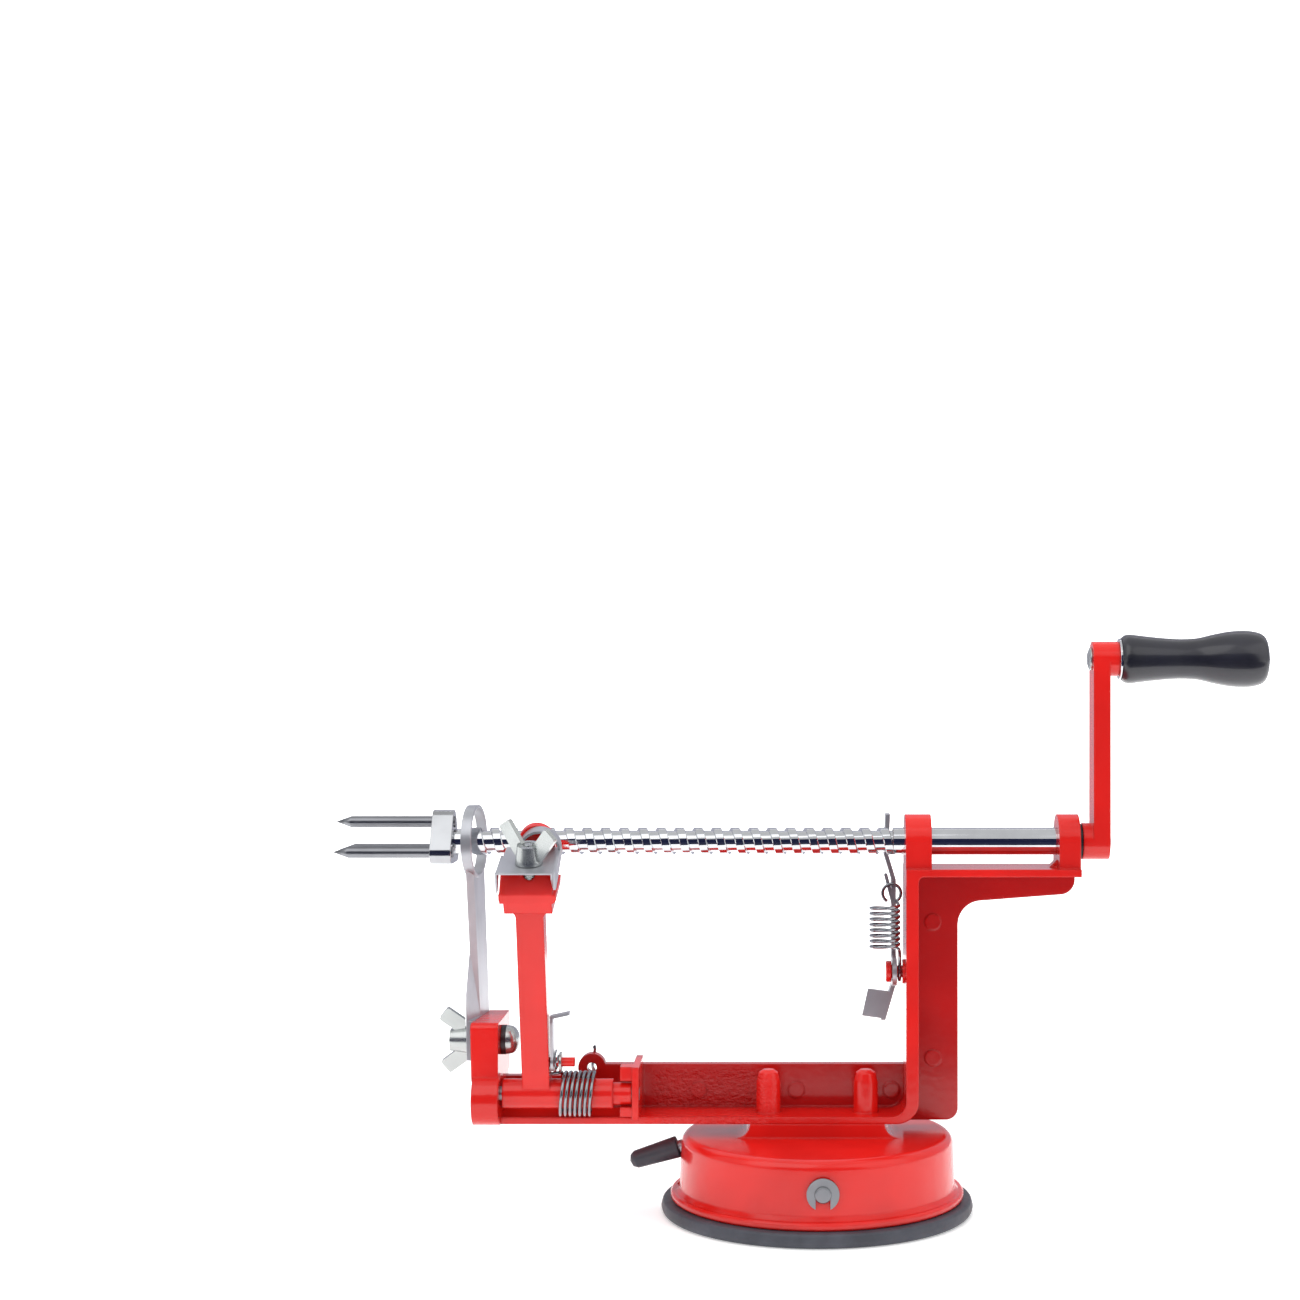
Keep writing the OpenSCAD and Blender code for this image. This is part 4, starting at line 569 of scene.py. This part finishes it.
class PeelerMaterials(bpy.types.Operator):
    """Makes the procedural materials"""
    bl_idname = "peeler.materials"
    bl_label = "Materials"

    def execute(self, context):
        p = context.scene.peeler_colours
        grey = darker(p.steel, 0.6)
        MATERIALS.update({
            # Castings dipped and baked: a wet red gloss with soft, bright edges
            "enamel": enamel("baked_enamel", p.enamel),
            # The same over the sand's skin: coarse and broken inside the bed, with painted shade in the
            # recesses
            "frame_enamel": sand_cast(enamel("sand_cast_baked_enamel", p.enamel)),
            # Polished, then plated: a clear mirror of light and dark
            "chrome": metal("polished_chrome_plate", p.chrome, 0.06, 0.02),
            # Tumbled, then plated: greyer and blurred
            "hub_chrome": metal("tumbled_chrome_plate", darker(p.chrome, 0.68), 0.16, 0.03),
            # Stamped from brushed strip: a satin sheen drawn out along the strip
            "steel": metal("brushed_stamped_steel", p.steel, 0.34, 0.09, BRUSHED_UP, 0.7),
            # Drawn and ground to points: dark, with streaks along the prong
            "tine_steel": metal("drawn_tine_steel", grey, 0.32, 0.10, DRAWN_ALONG),
            # Barrel plated: pale and soft, a little milky
            "zinc": metal("barrel_zinc_plate", p.zinc, 0.25, 0.04, metallic=0.92),
            # Drawn hard and wound: thin bright lines along each coil
            "spring_wire": metal("drawn_spring_wire", darker(p.steel, 0.70), 0.22, 0.06),
            # Turned and left bare: a dull mid grey
            "grey_steel": metal("turned_bare_steel", grey, 0.35),
            # Oiled after punching: nearly black
            "dark_steel": metal("oiled_punched_steel", darker(p.steel, 0.16), 0.40),
            # Moulded soft: the pad takes up dust and looks chalky, the handled sleeve is a little shinier
            "pad": rubber("moulded_pad_rubber", p.rubber, 0.50),
            "sleeve": rubber("moulded_sleeve_rubber", p.rubber, 0.42),
            # Turned wood, dipped: deep black with long soft highlights
            "grip": lacquer("dipped_black_lacquer", p.grip),
            # Punched from black sheet: almost no light back
            "black": rubber("punched_black_sheet", darker(p.rubber, 0.2), 0.4),
        })
        return {"FINISHED"}


HIDDEN_NODES = {"base_screws": "zinc", "lift_stem": "steel", "draw_pin": "zinc", "suction_lever": "steel",
                "arm_pin": "steel"}


class PeelerNodes(bpy.types.Operator):
    """Gives the CAD nodes that stay as they are their materials"""
    bl_idname = "peeler.nodes"
    bl_label = "Inner pieces"

    def execute(self, context):
        for node, mat_name in HIDDEN_NODES.items():
            dress(node, mat_name)
        return {"FINISHED"}


class PeelerCastings(bpy.types.Operator):
    """Rounds the edges of the enamelled castings"""
    bl_idname = "peeler.castings"
    bl_label = "Castings"

    def execute(self, context):
        edge = context.scene.peeler_sizes.cast_edge
        for node, share, mat_name, body in (
                ("frame", 1, "frame_enamel", "frame"),
                ("base_housing", 0.8, "enamel", "frame"),
                ("crank_arm", 1.3, "enamel", "shaft"),
                ("peeling_arm", 0.8, "enamel", "arm"),
                ("release_stud", 0.6, "enamel", "frame")):
            soft_edges(node, edge * share, mat_name, body)
        return {"FINISHED"}


class PeelerSteel(bpy.types.Operator):
    """Breaks the edges of the stamped, turned and moulded pieces"""
    bl_idname = "peeler.steel"
    bl_label = "Steel and rubber pieces"

    def execute(self, context):
        edge = context.scene.peeler_sizes.small_edge
        for node, share, mat_name, body, slot in (
                ("suction_pad", 3, "pad", "frame", "pad_rubber"),
                ("lever_sleeve", 3, "sleeve", "suction_lever", "sleeve_rubber"),
                ("cam_pin", 1, "grey_steel", "frame", "zinc"),
                ("cam_clips", 0.8, "grey_steel", "frame", "zinc"),
                ("fork_hub", 2, "hub_chrome", "shaft", "chrome"),
                ("fork_tines", 0.5, "tine_steel", "shaft", "steel"),
                ("thrust_washer", 1, "black", "carriage", "black_washer"),
                ("handle_spindle", 1, "zinc", "shaft", "zinc"),
                ("grip_washer", 1, "chrome", "shaft", "chrome"),
                ("release_lever", 0.8, "steel", "release", "steel"),
                ("latch_lever", 0.7, "steel", "latch", "steel"),
                ("latch_washer", 0.7, "zinc", "arm", "zinc"),
                ("blade_bracket", 0.7, "steel", "arm", "steel"),
                ("peeling_blade", 0.5, "steel", "arm", "chrome"),
                ("blade_wing_nut", 1.5, "zinc", "blade_nut", "zinc"),
                ("coring_wing_nut", 1.5, "zinc", "coring_nut", "zinc"),
                ("coring_blade", 0.6, "steel", "frame", "steel"),
                ("bolt_washer", 0.8, "dark_steel", "frame", "dark_steel")):
            soft_edges(node, edge * share, mat_name, body)
        return {"FINISHED"}


# Feed shaft, in millimetres along X: neck, collar, thread, plain length and riveted end
SHAFT_Z = 121.4
NECK = [(-126.1, 0), (-126.1, 3), (-119.5, 3), (-119.5, 3.9), (-119.4, 4), (-114, 4), (-114, 4.25),
        (-113.75, 4.5), (-111, 4.5), (-111, 3.5)]
PLAIN = [(25, 3.5), (25, 4.42), (25.1, 4.5), (87.3, 4.5), (87.3, 3.5), (96.35, 3.5), (96.6, 3.0), (96.6, 0)]
RIDGE_START = -110.6
THREAD_SPAN = (-111, 25)
THREAD_PHASE = 283.28
THREAD_R = 4.5
THREAD_DEPTH = 1
RIDGE_PLACES = [0, 0.008, 0.012, 0.045, 0.44, 0.473, 0.478, 0.486, 1]
RIDGE_HEIGHTS = [0, 0.06, 0.82, 1, 1, 0.82, 0.06, 0, 0]


class PeelerShaft(bpy.types.Operator):
    """Makes the feed shaft with its square thread"""
    bl_idname = "peeler.shaft"
    bl_label = "Feed shaft"

    def execute(self, context):
        tree = thread_tree("peeler_square_thread", RIDGE_PLACES, RIDGE_HEIGHTS)
        thread = link(bpy.data.objects.new("thread", bpy.data.meshes.new("thread")))
        use_tree(thread, tree, {
            "Radius": THREAD_R * MM, "Depth": THREAD_DEPTH * MM, "Pitch": context.scene.peeler_sizes.pitch,
            "Start": THREAD_SPAN[0] * MM, "End": THREAD_SPAN[1] * MM, "Ridge start": RIDGE_START * MM,
            "Phase": math.radians(THREAD_PHASE), "Place": (0, 0, SHAFT_Z * MM),
            "Material": MATERIALS["chrome"]})
        parts = [baked(thread)]
        for name, profile in (("neck", NECK), ("plain", PLAIN)):
            parts.append(lathe_x(name, [(x * MM, r * MM) for x, r in profile], SHAFT_Z * MM))
        shaft = joined("feed_shaft_finish", parts)
        shade(shaft.data, THREAD_SHADE)
        settle(shaft, ["feed_shaft"], "chrome", "shaft")
        return {"FINISHED"}


# Bore of the grip and the depth of bore that is made, in millimetres, and its outline as shares of its
# length with radii in millimetres. The last points are the nub at its far end
GRIP_WALL = 3.05
BORE_SHOWN = 12
NUB_POINTS = 4
GRIP_LINE = [(0, 6.97), (0.025, 7.86), (0.06, 8.1), (0.12, 7.78), (0.22, 7.21), (0.33, 6.76), (0.42, 6.6),
             (0.52, 6.92), (0.62, 8.04), (0.72, 8.98), (0.81, 9.35), (0.88, 9.21), (0.94, 8.51), (0.975, 7.2),
             (0.992, 4.6), (1, 2), (1, 1), (1.01, 0.96), (1.01, 0)]


class PeelerGrip(bpy.types.Operator):
    """Turns the lacquered grip from a smooth outline"""
    bl_idname = "peeler.grip"
    bl_label = "Grip"

    def execute(self, context):
        low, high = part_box("handle_grip")
        start, end = low[0], high[0]
        middle = (low[2] + high[2]) / 2
        span = (end - start) / GRIP_LINE[-1][0]
        line = smooth_line([(start + s * span, r * MM) for s, r in GRIP_LINE[:-NUB_POINTS]])
        line += [(start + s * span, r * MM) for s, r in GRIP_LINE[-NUB_POINTS:]]
        line = [(start + BORE_SHOWN * MM, GRIP_WALL * MM), (start, GRIP_WALL * MM)] + line
        settle(lathe_x("handle_grip_finish", line, middle), ["handle_grip"], "grip", "grip")
        return {"FINISHED"}


# Places and radii of the springs, in millimetres. The arm's own frame leans about its axis
ARM_AXIS = (-11.6, 40.4)
ARM_LEAN = 17
COIL_STEPS = 24
WIRE_R = 0.55
LATCH_WIRE_R = 0.3

# Release spring: hook round the stud, coils up beside the column, and loop on the lever
HOOK_X = 27.175
HOOK_R = 2.85
STUD_Z = 78.4
RISER_TOP = 84.7
RELEASE_START = (22.1, -6.6, 86.5)
RELEASE_R = 4.65
RELEASE_COILS = 8
RELEASE_PITCH = 1.8
LOOP_CENTRE = (24.8, 2.95, 103.9)
LOOP_R = 3.05

# Arm's spring: leg in the upright, coils round the tube that lean a little, and tail through the lug
LEG_X = (-88.2, -85.4)
LEG_PLACE = (-0.0914, 6.4554)
LEG_ANGLE = 90.81
COIL_X = -83.7
COIL_R = 6.95
COIL_COUNT = 7
COIL_PITCH = 1.57
COIL_SWAY = 0.41
TAIL = [(-74.9, 9, 45.4), (-75.175, 11.95, 45.4), (-74.9, 12.5, 46.5), (-74.35, 12.5, 50.5),
        (-74.35, 11.95, 51.6), (-74.35, 10.3, 51.6)]

# Latch's spring: one coil round the stud with an end on each side, in the arm's frame
LATCH_X = -84.85
LATCH_CENTRE = (0.5, 11.1)
LATCH_R = 2.1
LATCH_PITCH = 1.05
LATCH_ENDS = (4.7, -3.7)


def arm_matrix():
    """Arm's frame in the row frame, in millimetres."""
    return Matrix.Translation((0, *ARM_AXIS)) @ Matrix.Rotation(math.radians(ARM_LEAN), 4, "X")


def angles(first, last, steps):
    """Angles in radians from first to last, given in degrees."""
    return [math.radians(first + (last - first) * i / steps) for i in range(steps + 1)]


def release_path():
    """Hook round the stud, coils and the loop on the lever."""
    hook = [Vector((HOOK_X, HOOK_R * math.cos(a), STUD_Z + HOOK_R * math.sin(a)))
            for a in angles(30, -180, 14)]
    riser = [Vector((HOOK_X, -HOOK_R, RISER_TOP))]
    x, y, z = RELEASE_START
    coil = [Vector((x + RELEASE_R * math.cos(a), y + RELEASE_R * math.sin(a),
                    z + RELEASE_PITCH * a / (2 * math.pi)))
            for a in angles(0, RELEASE_COILS * 360, RELEASE_COILS * COIL_STEPS)]
    x, y, z = LOOP_CENTRE
    loop = [Vector((x + LOOP_R * math.cos(a), y, z + LOOP_R * math.sin(a))) for a in angles(-60, 240, 20)]
    return hook + riser + coil + loop


def arm_path():
    """Leg in the upright, coils round the tube and the tail through the frame's lug."""
    y, z = ARM_AXIS
    leg = [Vector((x, LEG_PLACE[0] + y, LEG_PLACE[1] + z)) for x in LEG_X]
    turn = COIL_COUNT * 360 + LEG_ANGLE - 90
    steps = COIL_COUNT * COIL_STEPS
    advance = COIL_PITCH * turn / 360
    coil = [Vector((COIL_X + advance * i / steps + COIL_SWAY * math.sin(a), COIL_R * math.cos(a) + y,
                    COIL_R * math.sin(a) + z))
            for i, a in enumerate(angles(LEG_ANGLE, LEG_ANGLE - turn, steps))]
    return leg + coil + [Vector(p) for p in TAIL]


def latch_path():
    """One coil round the latch's stud, with its two ends."""
    y, z = LATCH_CENTRE
    coil = [Vector((LATCH_X + LATCH_PITCH * i / COIL_STEPS, y + LATCH_R * math.cos(a),
                    z + LATCH_R * math.sin(a)))
            for i, a in enumerate(angles(90, 450, COIL_STEPS))]
    top = z + LATCH_R
    path = [Vector((LATCH_X, LATCH_ENDS[0], top)), *coil, Vector((LATCH_X + LATCH_PITCH, LATCH_ENDS[1], top))]
    return [arm_matrix() @ p for p in path]


class PeelerSprings(bpy.types.Operator):
    """Winds the three springs from round wire"""
    bl_idname = "peeler.springs"
    bl_label = "Springs"

    def execute(self, context):
        tree = wire_tree()
        for node, path, radius, body in (("release_spring", release_path(), WIRE_R, "release"),
                                         ("arm_spring", arm_path(), WIRE_R, "frame"),
                                         ("latch_spring", latch_path(), LATCH_WIRE_R, "arm")):
            path = [p * MM for p in rounded(path)]
            wound(node + "_finish", path, radius * MM, tree, [node], "spring_wire", body)
        return {"FINISHED"}


# Bolts' thread, in millimetres, and one pitch of its outline, as shares
SCREW_R = 1.98
SCREW_DEPTH = 0.42
SCREW_STEPS = 32
SCREW_PLACES = [0, 0.06, 0.44, 0.56, 0.94, 1]
SCREW_HEIGHTS = [0, 0, 1, 1, 0, 0]

# Blade's screw along the arm's upright and domed bolt along X, in millimetres: foot, ends of the
# thread, and (place, radius) points of the turned parts
BLADE_FOOT = (-90.7, -1, 0)
BLADE_SPAN = (68.2, 86.9)
BLADE_LINE = [(68, 0), (68, 1.5), (86.7, 1.5), (87.2, 1.2), (87.2, 0)]
BOLT_FOOT = (0, -5, 56.8)
BOLT_SPAN = (-120.1, -112)
BOLT_LINE = [(-120.35, 0), (-120.35, 1.3), (-119.9, 1.55), (-112.2, 1.55), (-112.2, 2), (-101.7, 2),
             (-101.7, 4.55), (-101.6, 4.65), (-100.9, 4.65)]
DOME_X = -100.5
DOME_HEIGHT = 3.1
DOME_R = 4.6


class PeelerBolts(bpy.types.Operator):
    """Makes the blade's screw and the domed bolt with their fine threads"""
    bl_idname = "peeler.bolts"
    bl_label = "Bolts"

    def execute(self, context):
        tree = thread_tree("peeler_screw_thread", SCREW_PLACES, SCREW_HEIGHTS)
        pitch = context.scene.peeler_sizes.screw_pitch
        up = Matrix.Rotation(math.radians(ARM_LEAN), 4, "X") @ Matrix.Rotation(-math.pi / 2, 4, "Y")
        foot = arm_matrix() @ Vector(BLADE_FOOT)
        self.bolt("blade_screw", tree, pitch, up, foot, BLADE_SPAN, BLADE_LINE, "arm")
        dome = [(DOME_X + DOME_HEIGHT * math.sin(a), DOME_R * math.cos(a)) for a in angles(0, 90, 14)]
        self.bolt("coring_bolt", tree, pitch, Matrix.Identity(4), Vector(BOLT_FOOT), BOLT_SPAN,
                  BOLT_LINE + dome, "frame")
        return {"FINISHED"}

    def bolt(self, node, tree, pitch, turn, foot, span, ends, body):
        """One bolt: its thread from the node tree and its turned parts."""
        thread = link(bpy.data.objects.new(node + "_thread", bpy.data.meshes.new(node + "_thread")))
        use_tree(thread, tree, {
            "Radius": SCREW_R * MM, "Depth": SCREW_DEPTH * MM, "Pitch": pitch, "Start": span[0] * MM,
            "End": span[1] * MM, "Ridge start": span[0] * MM, "Steps": SCREW_STEPS, "Place": foot * MM,
            "Rotation": turn.to_euler(), "Material": MATERIALS["zinc"]})
        turned = lathe_x(node + "_turned", [(x * MM, r * MM) for x, r in ends], 0, 48)
        turned.data.transform(Matrix.Translation(foot * MM) @ turn)
        piece = joined(node + "_finish", [baked(thread), turned])
        shade(piece.data, THREAD_SHADE)
        settle(piece, [node], "zinc", body)


# Studio lights: name, place and size in metres, and power in watts
LIGHTS = (("key", (-0.55, -0.75, 0.95), 1.2, 4.2), ("fill", (0.8, -0.6, 0.6), 1.2, 2.1),
          ("top", (0.0, 0.15, 1.1), 0.9, 5))
AIM = (0, 0, 0.09)

# Camera, in metres, and the photograph's frame: its width, the focal length and the shift, in pixels
EYE = (-0.0089, -0.725, 0.1805)
FRAME_PX = 1300
FOCAL_PX = 2197
SHIFT_PX = (-140, 12)
SENSOR = 36

# Floor in metres: near edge, where it bends up, radius of the bend, top and half width
FLOOR_NEAR = -2.4
FLOOR_DEPTH = 0.9
FLOOR_BEND = 0.6
FLOOR_TOP = 2.2
FLOOR_HALF = 2.6
BEND_STEPS = 16
# The floor glows from a little at the object to fully behind it
GLOW_SPAN = (0.05, 0.75)
GLOW = (0.30, 1.0)

# Flags are cards seen only in reflections: dark ones in front of the object and a grey one behind it,
# in metres
FLAG_RISE = 0.001
DARK_NEAR = -0.21
DARK_FAR = -1.0
DARK_HALF = 0.8
DARK_TOP = 0.58
GREY_Y = 0.62
GREY_HALF = 1.3
GREY_TOP = 0.9

# Sky from below the horizon to overhead, by height as a share
SKY_STRENGTH = 0.70
SKY_SPAN = (-0.1, 0.7)
SKY = ((0.0, "#DDDDDF"), (0.3, "#ECEFF3"), (0.75, "#FFFFFF"))


class PeelerStudio(bpy.types.Operator):
    """Makes the floor, the lights and the camera"""
    bl_idname = "peeler.studio"
    bl_label = "Studio"

    def execute(self, context):
        scene = context.scene
        self.floor()
        self.flags()
        self.sky(scene)
        for name, place, size, power in LIGHTS:
            light = bpy.data.lights.new(name, "AREA")
            light.size = size
            light.energy = power
            lamp = link(bpy.data.objects.new(name, light))
            lamp.visible_glossy = name != "top"
            lamp.location = place
            lamp.rotation_euler = (Vector(AIM) - Vector(place)).to_track_quat("-Z", "Y").to_euler()

        lens = bpy.data.cameras.new("camera")
        lens.sensor_width = SENSOR
        lens.lens = FOCAL_PX / FRAME_PX * SENSOR
        lens.shift_x, lens.shift_y = (px / FRAME_PX for px in SHIFT_PX)
        camera = link(bpy.data.objects.new("camera", lens))
        camera.location = EYE
        camera.rotation_euler = (math.pi / 2, 0, 0)
        scene.camera = camera
        scene.view_settings.view_transform = "Standard"
        return {"FINISHED"}

    def sheet(self, name, verts, faces, mat):
        """A smooth sheet of the studio."""
        mesh = bpy.data.meshes.new(name)
        mesh.from_pydata(verts, [], faces)
        for polygon in mesh.polygons:
            polygon.use_smooth = True
        mesh.materials.append(mat)
        obj = link(bpy.data.objects.new(name, mesh))
        return obj

    def floor(self):
        """Pale floor that curves up into the backdrop, brighter away from the object."""
        mat = studio_card("studio_floor", linear("#F3F3F3"), 0.65, Emission_Color=(1, 1, 1, 1))
        tree = mat.node_tree
        place = add_node(tree, "ShaderNodeTexCoord", output="Object")
        back = add_node(tree, "ShaderNodeSeparateXYZ", vector=place, output="Y")
        glow = add_node(tree, RANGE, value=back, from_min=GLOW_SPAN[0], from_max=GLOW_SPAN[1], to_min=GLOW[0],
                        to_max=GLOW[1], interpolation_type="SMOOTHSTEP")
        tree.links.new(glow, tree.nodes["Principled BSDF"].inputs["Emission Strength"])
        profile = [(FLOOR_NEAR, 0.0), (FLOOR_DEPTH, 0.0)]
        profile += [(FLOOR_DEPTH + FLOOR_BEND * math.sin(a), FLOOR_BEND - FLOOR_BEND * math.cos(a))
                    for a in angles(0, 90, BEND_STEPS)[1:]]
        profile.append((FLOOR_DEPTH + FLOOR_BEND, FLOOR_TOP))
        verts = [(x, y, z) for y, z in profile for x in (-FLOOR_HALF, FLOOR_HALF)]
        faces = [(2 * i, 2 * i + 1, 2 * i + 3, 2 * i + 2) for i in range(len(profile) - 1)]
        self.sheet("floor", verts, faces, mat)

    def flags(self):
        """Cards round the object, seen only in its reflections."""
        dark, grey = (
            studio_card(name, (0, 0, 0), 1.0, Emission_Color=opaque(linear(glow)), Emission_Strength=1.0)
            for name, glow in (("studio_dark", "#12183C"), ("studio_grey", "#BCBCC8")))
        wall = [(-DARK_HALF, DARK_FAR, 0), (DARK_HALF, DARK_FAR, 0), (DARK_HALF, DARK_FAR, DARK_TOP),
                (-DARK_HALF, DARK_FAR, DARK_TOP)]
        ground = [(-DARK_HALF, DARK_NEAR, FLAG_RISE), (DARK_HALF, DARK_NEAR, FLAG_RISE),
                  (DARK_HALF, DARK_FAR, FLAG_RISE), (-DARK_HALF, DARK_FAR, FLAG_RISE)]
        behind = [(-GREY_HALF, GREY_Y, FLAG_RISE), (GREY_HALF, GREY_Y, FLAG_RISE),
                  (GREY_HALF, GREY_Y, GREY_TOP), (-GREY_HALF, GREY_Y, GREY_TOP)]
        for name, mat, corners in (("flag_wall", dark, wall), ("flag_floor", dark, ground),
                                   ("flag_back", grey, behind)):
            flag = self.sheet(name, corners, [(0, 1, 2, 3)], mat)
            flag.visible_camera = False
            flag.visible_diffuse = False
            flag.visible_shadow = False

    def sky(self, scene):
        """Soft light from above and from the sides."""
        world = bpy.data.worlds.new("studio")
        world.use_nodes = True
        scene.world = world
        tree = world.node_tree
        back = tree.nodes["Background"]
        back.inputs["Strength"].default_value = SKY_STRENGTH
        way = add_node(tree, "ShaderNodeTexCoord", output="Generated")
        up = add_node(tree, "ShaderNodeSeparateXYZ", vector=way, output="Z")
        rise = add_node(tree, RANGE, value=up, from_min=SKY_SPAN[0], from_max=SKY_SPAN[1],
                        interpolation_type="SMOOTHSTEP")
        tone = opaque(linear(SKY[0][1]))
        for (start, _), (end, colour) in zip(SKY, SKY[1:]):
            share = add_node(tree, RANGE, value=rise, from_min=start, from_max=end)
            tone = add_node(tree, "ShaderNodeMix", data_type="RGBA", factor=share, a=tone,
                            b=opaque(linear(colour)), output="Result")
        tree.links.new(tone, back.inputs["Color"])


class PeelerPanel(bpy.types.Panel):
    """Lists the pieces of the apple peeler"""
    bl_idname = "VIEW3D_PT_peeler"
    bl_label = "Apple peeler"
    bl_space_type = "VIEW_3D"
    bl_region_type = "UI"
    bl_category = "Apple peeler"

    def draw(self, context):
        layout = self.layout
        for group in (context.scene.peeler_colours, context.scene.peeler_sizes):
            for name in group.bl_rna.properties.keys():
                if name not in ("rna_type", "name"):
                    layout.prop(group, name)
        for operator in OPERATORS:
            layout.operator(operator.bl_idname)


OPERATORS = (PeelerMaterials, PeelerNodes, PeelerCastings, PeelerSteel, PeelerShaft, PeelerGrip,
             PeelerSprings, PeelerBolts, PeelerStudio)
GROUPS = (PeelerColours, PeelerSizes)


def register():
    for cls in (*GROUPS, *OPERATORS, PeelerPanel):
        bpy.utils.register_class(cls)
    bpy.types.Scene.peeler_colours = bpy.props.PointerProperty(type=PeelerColours)
    bpy.types.Scene.peeler_sizes = bpy.props.PointerProperty(type=PeelerSizes)


def unregister():
    del bpy.types.Scene.peeler_colours
    del bpy.types.Scene.peeler_sizes
    for cls in reversed((*GROUPS, *OPERATORS, PeelerPanel)):
        bpy.utils.unregister_class(cls)


def main():
    register()
    for operator in OPERATORS:
        group, name = operator.bl_idname.split(".")
        getattr(getattr(bpy.ops, group), name)()


if __name__ == "__main__":
    main()
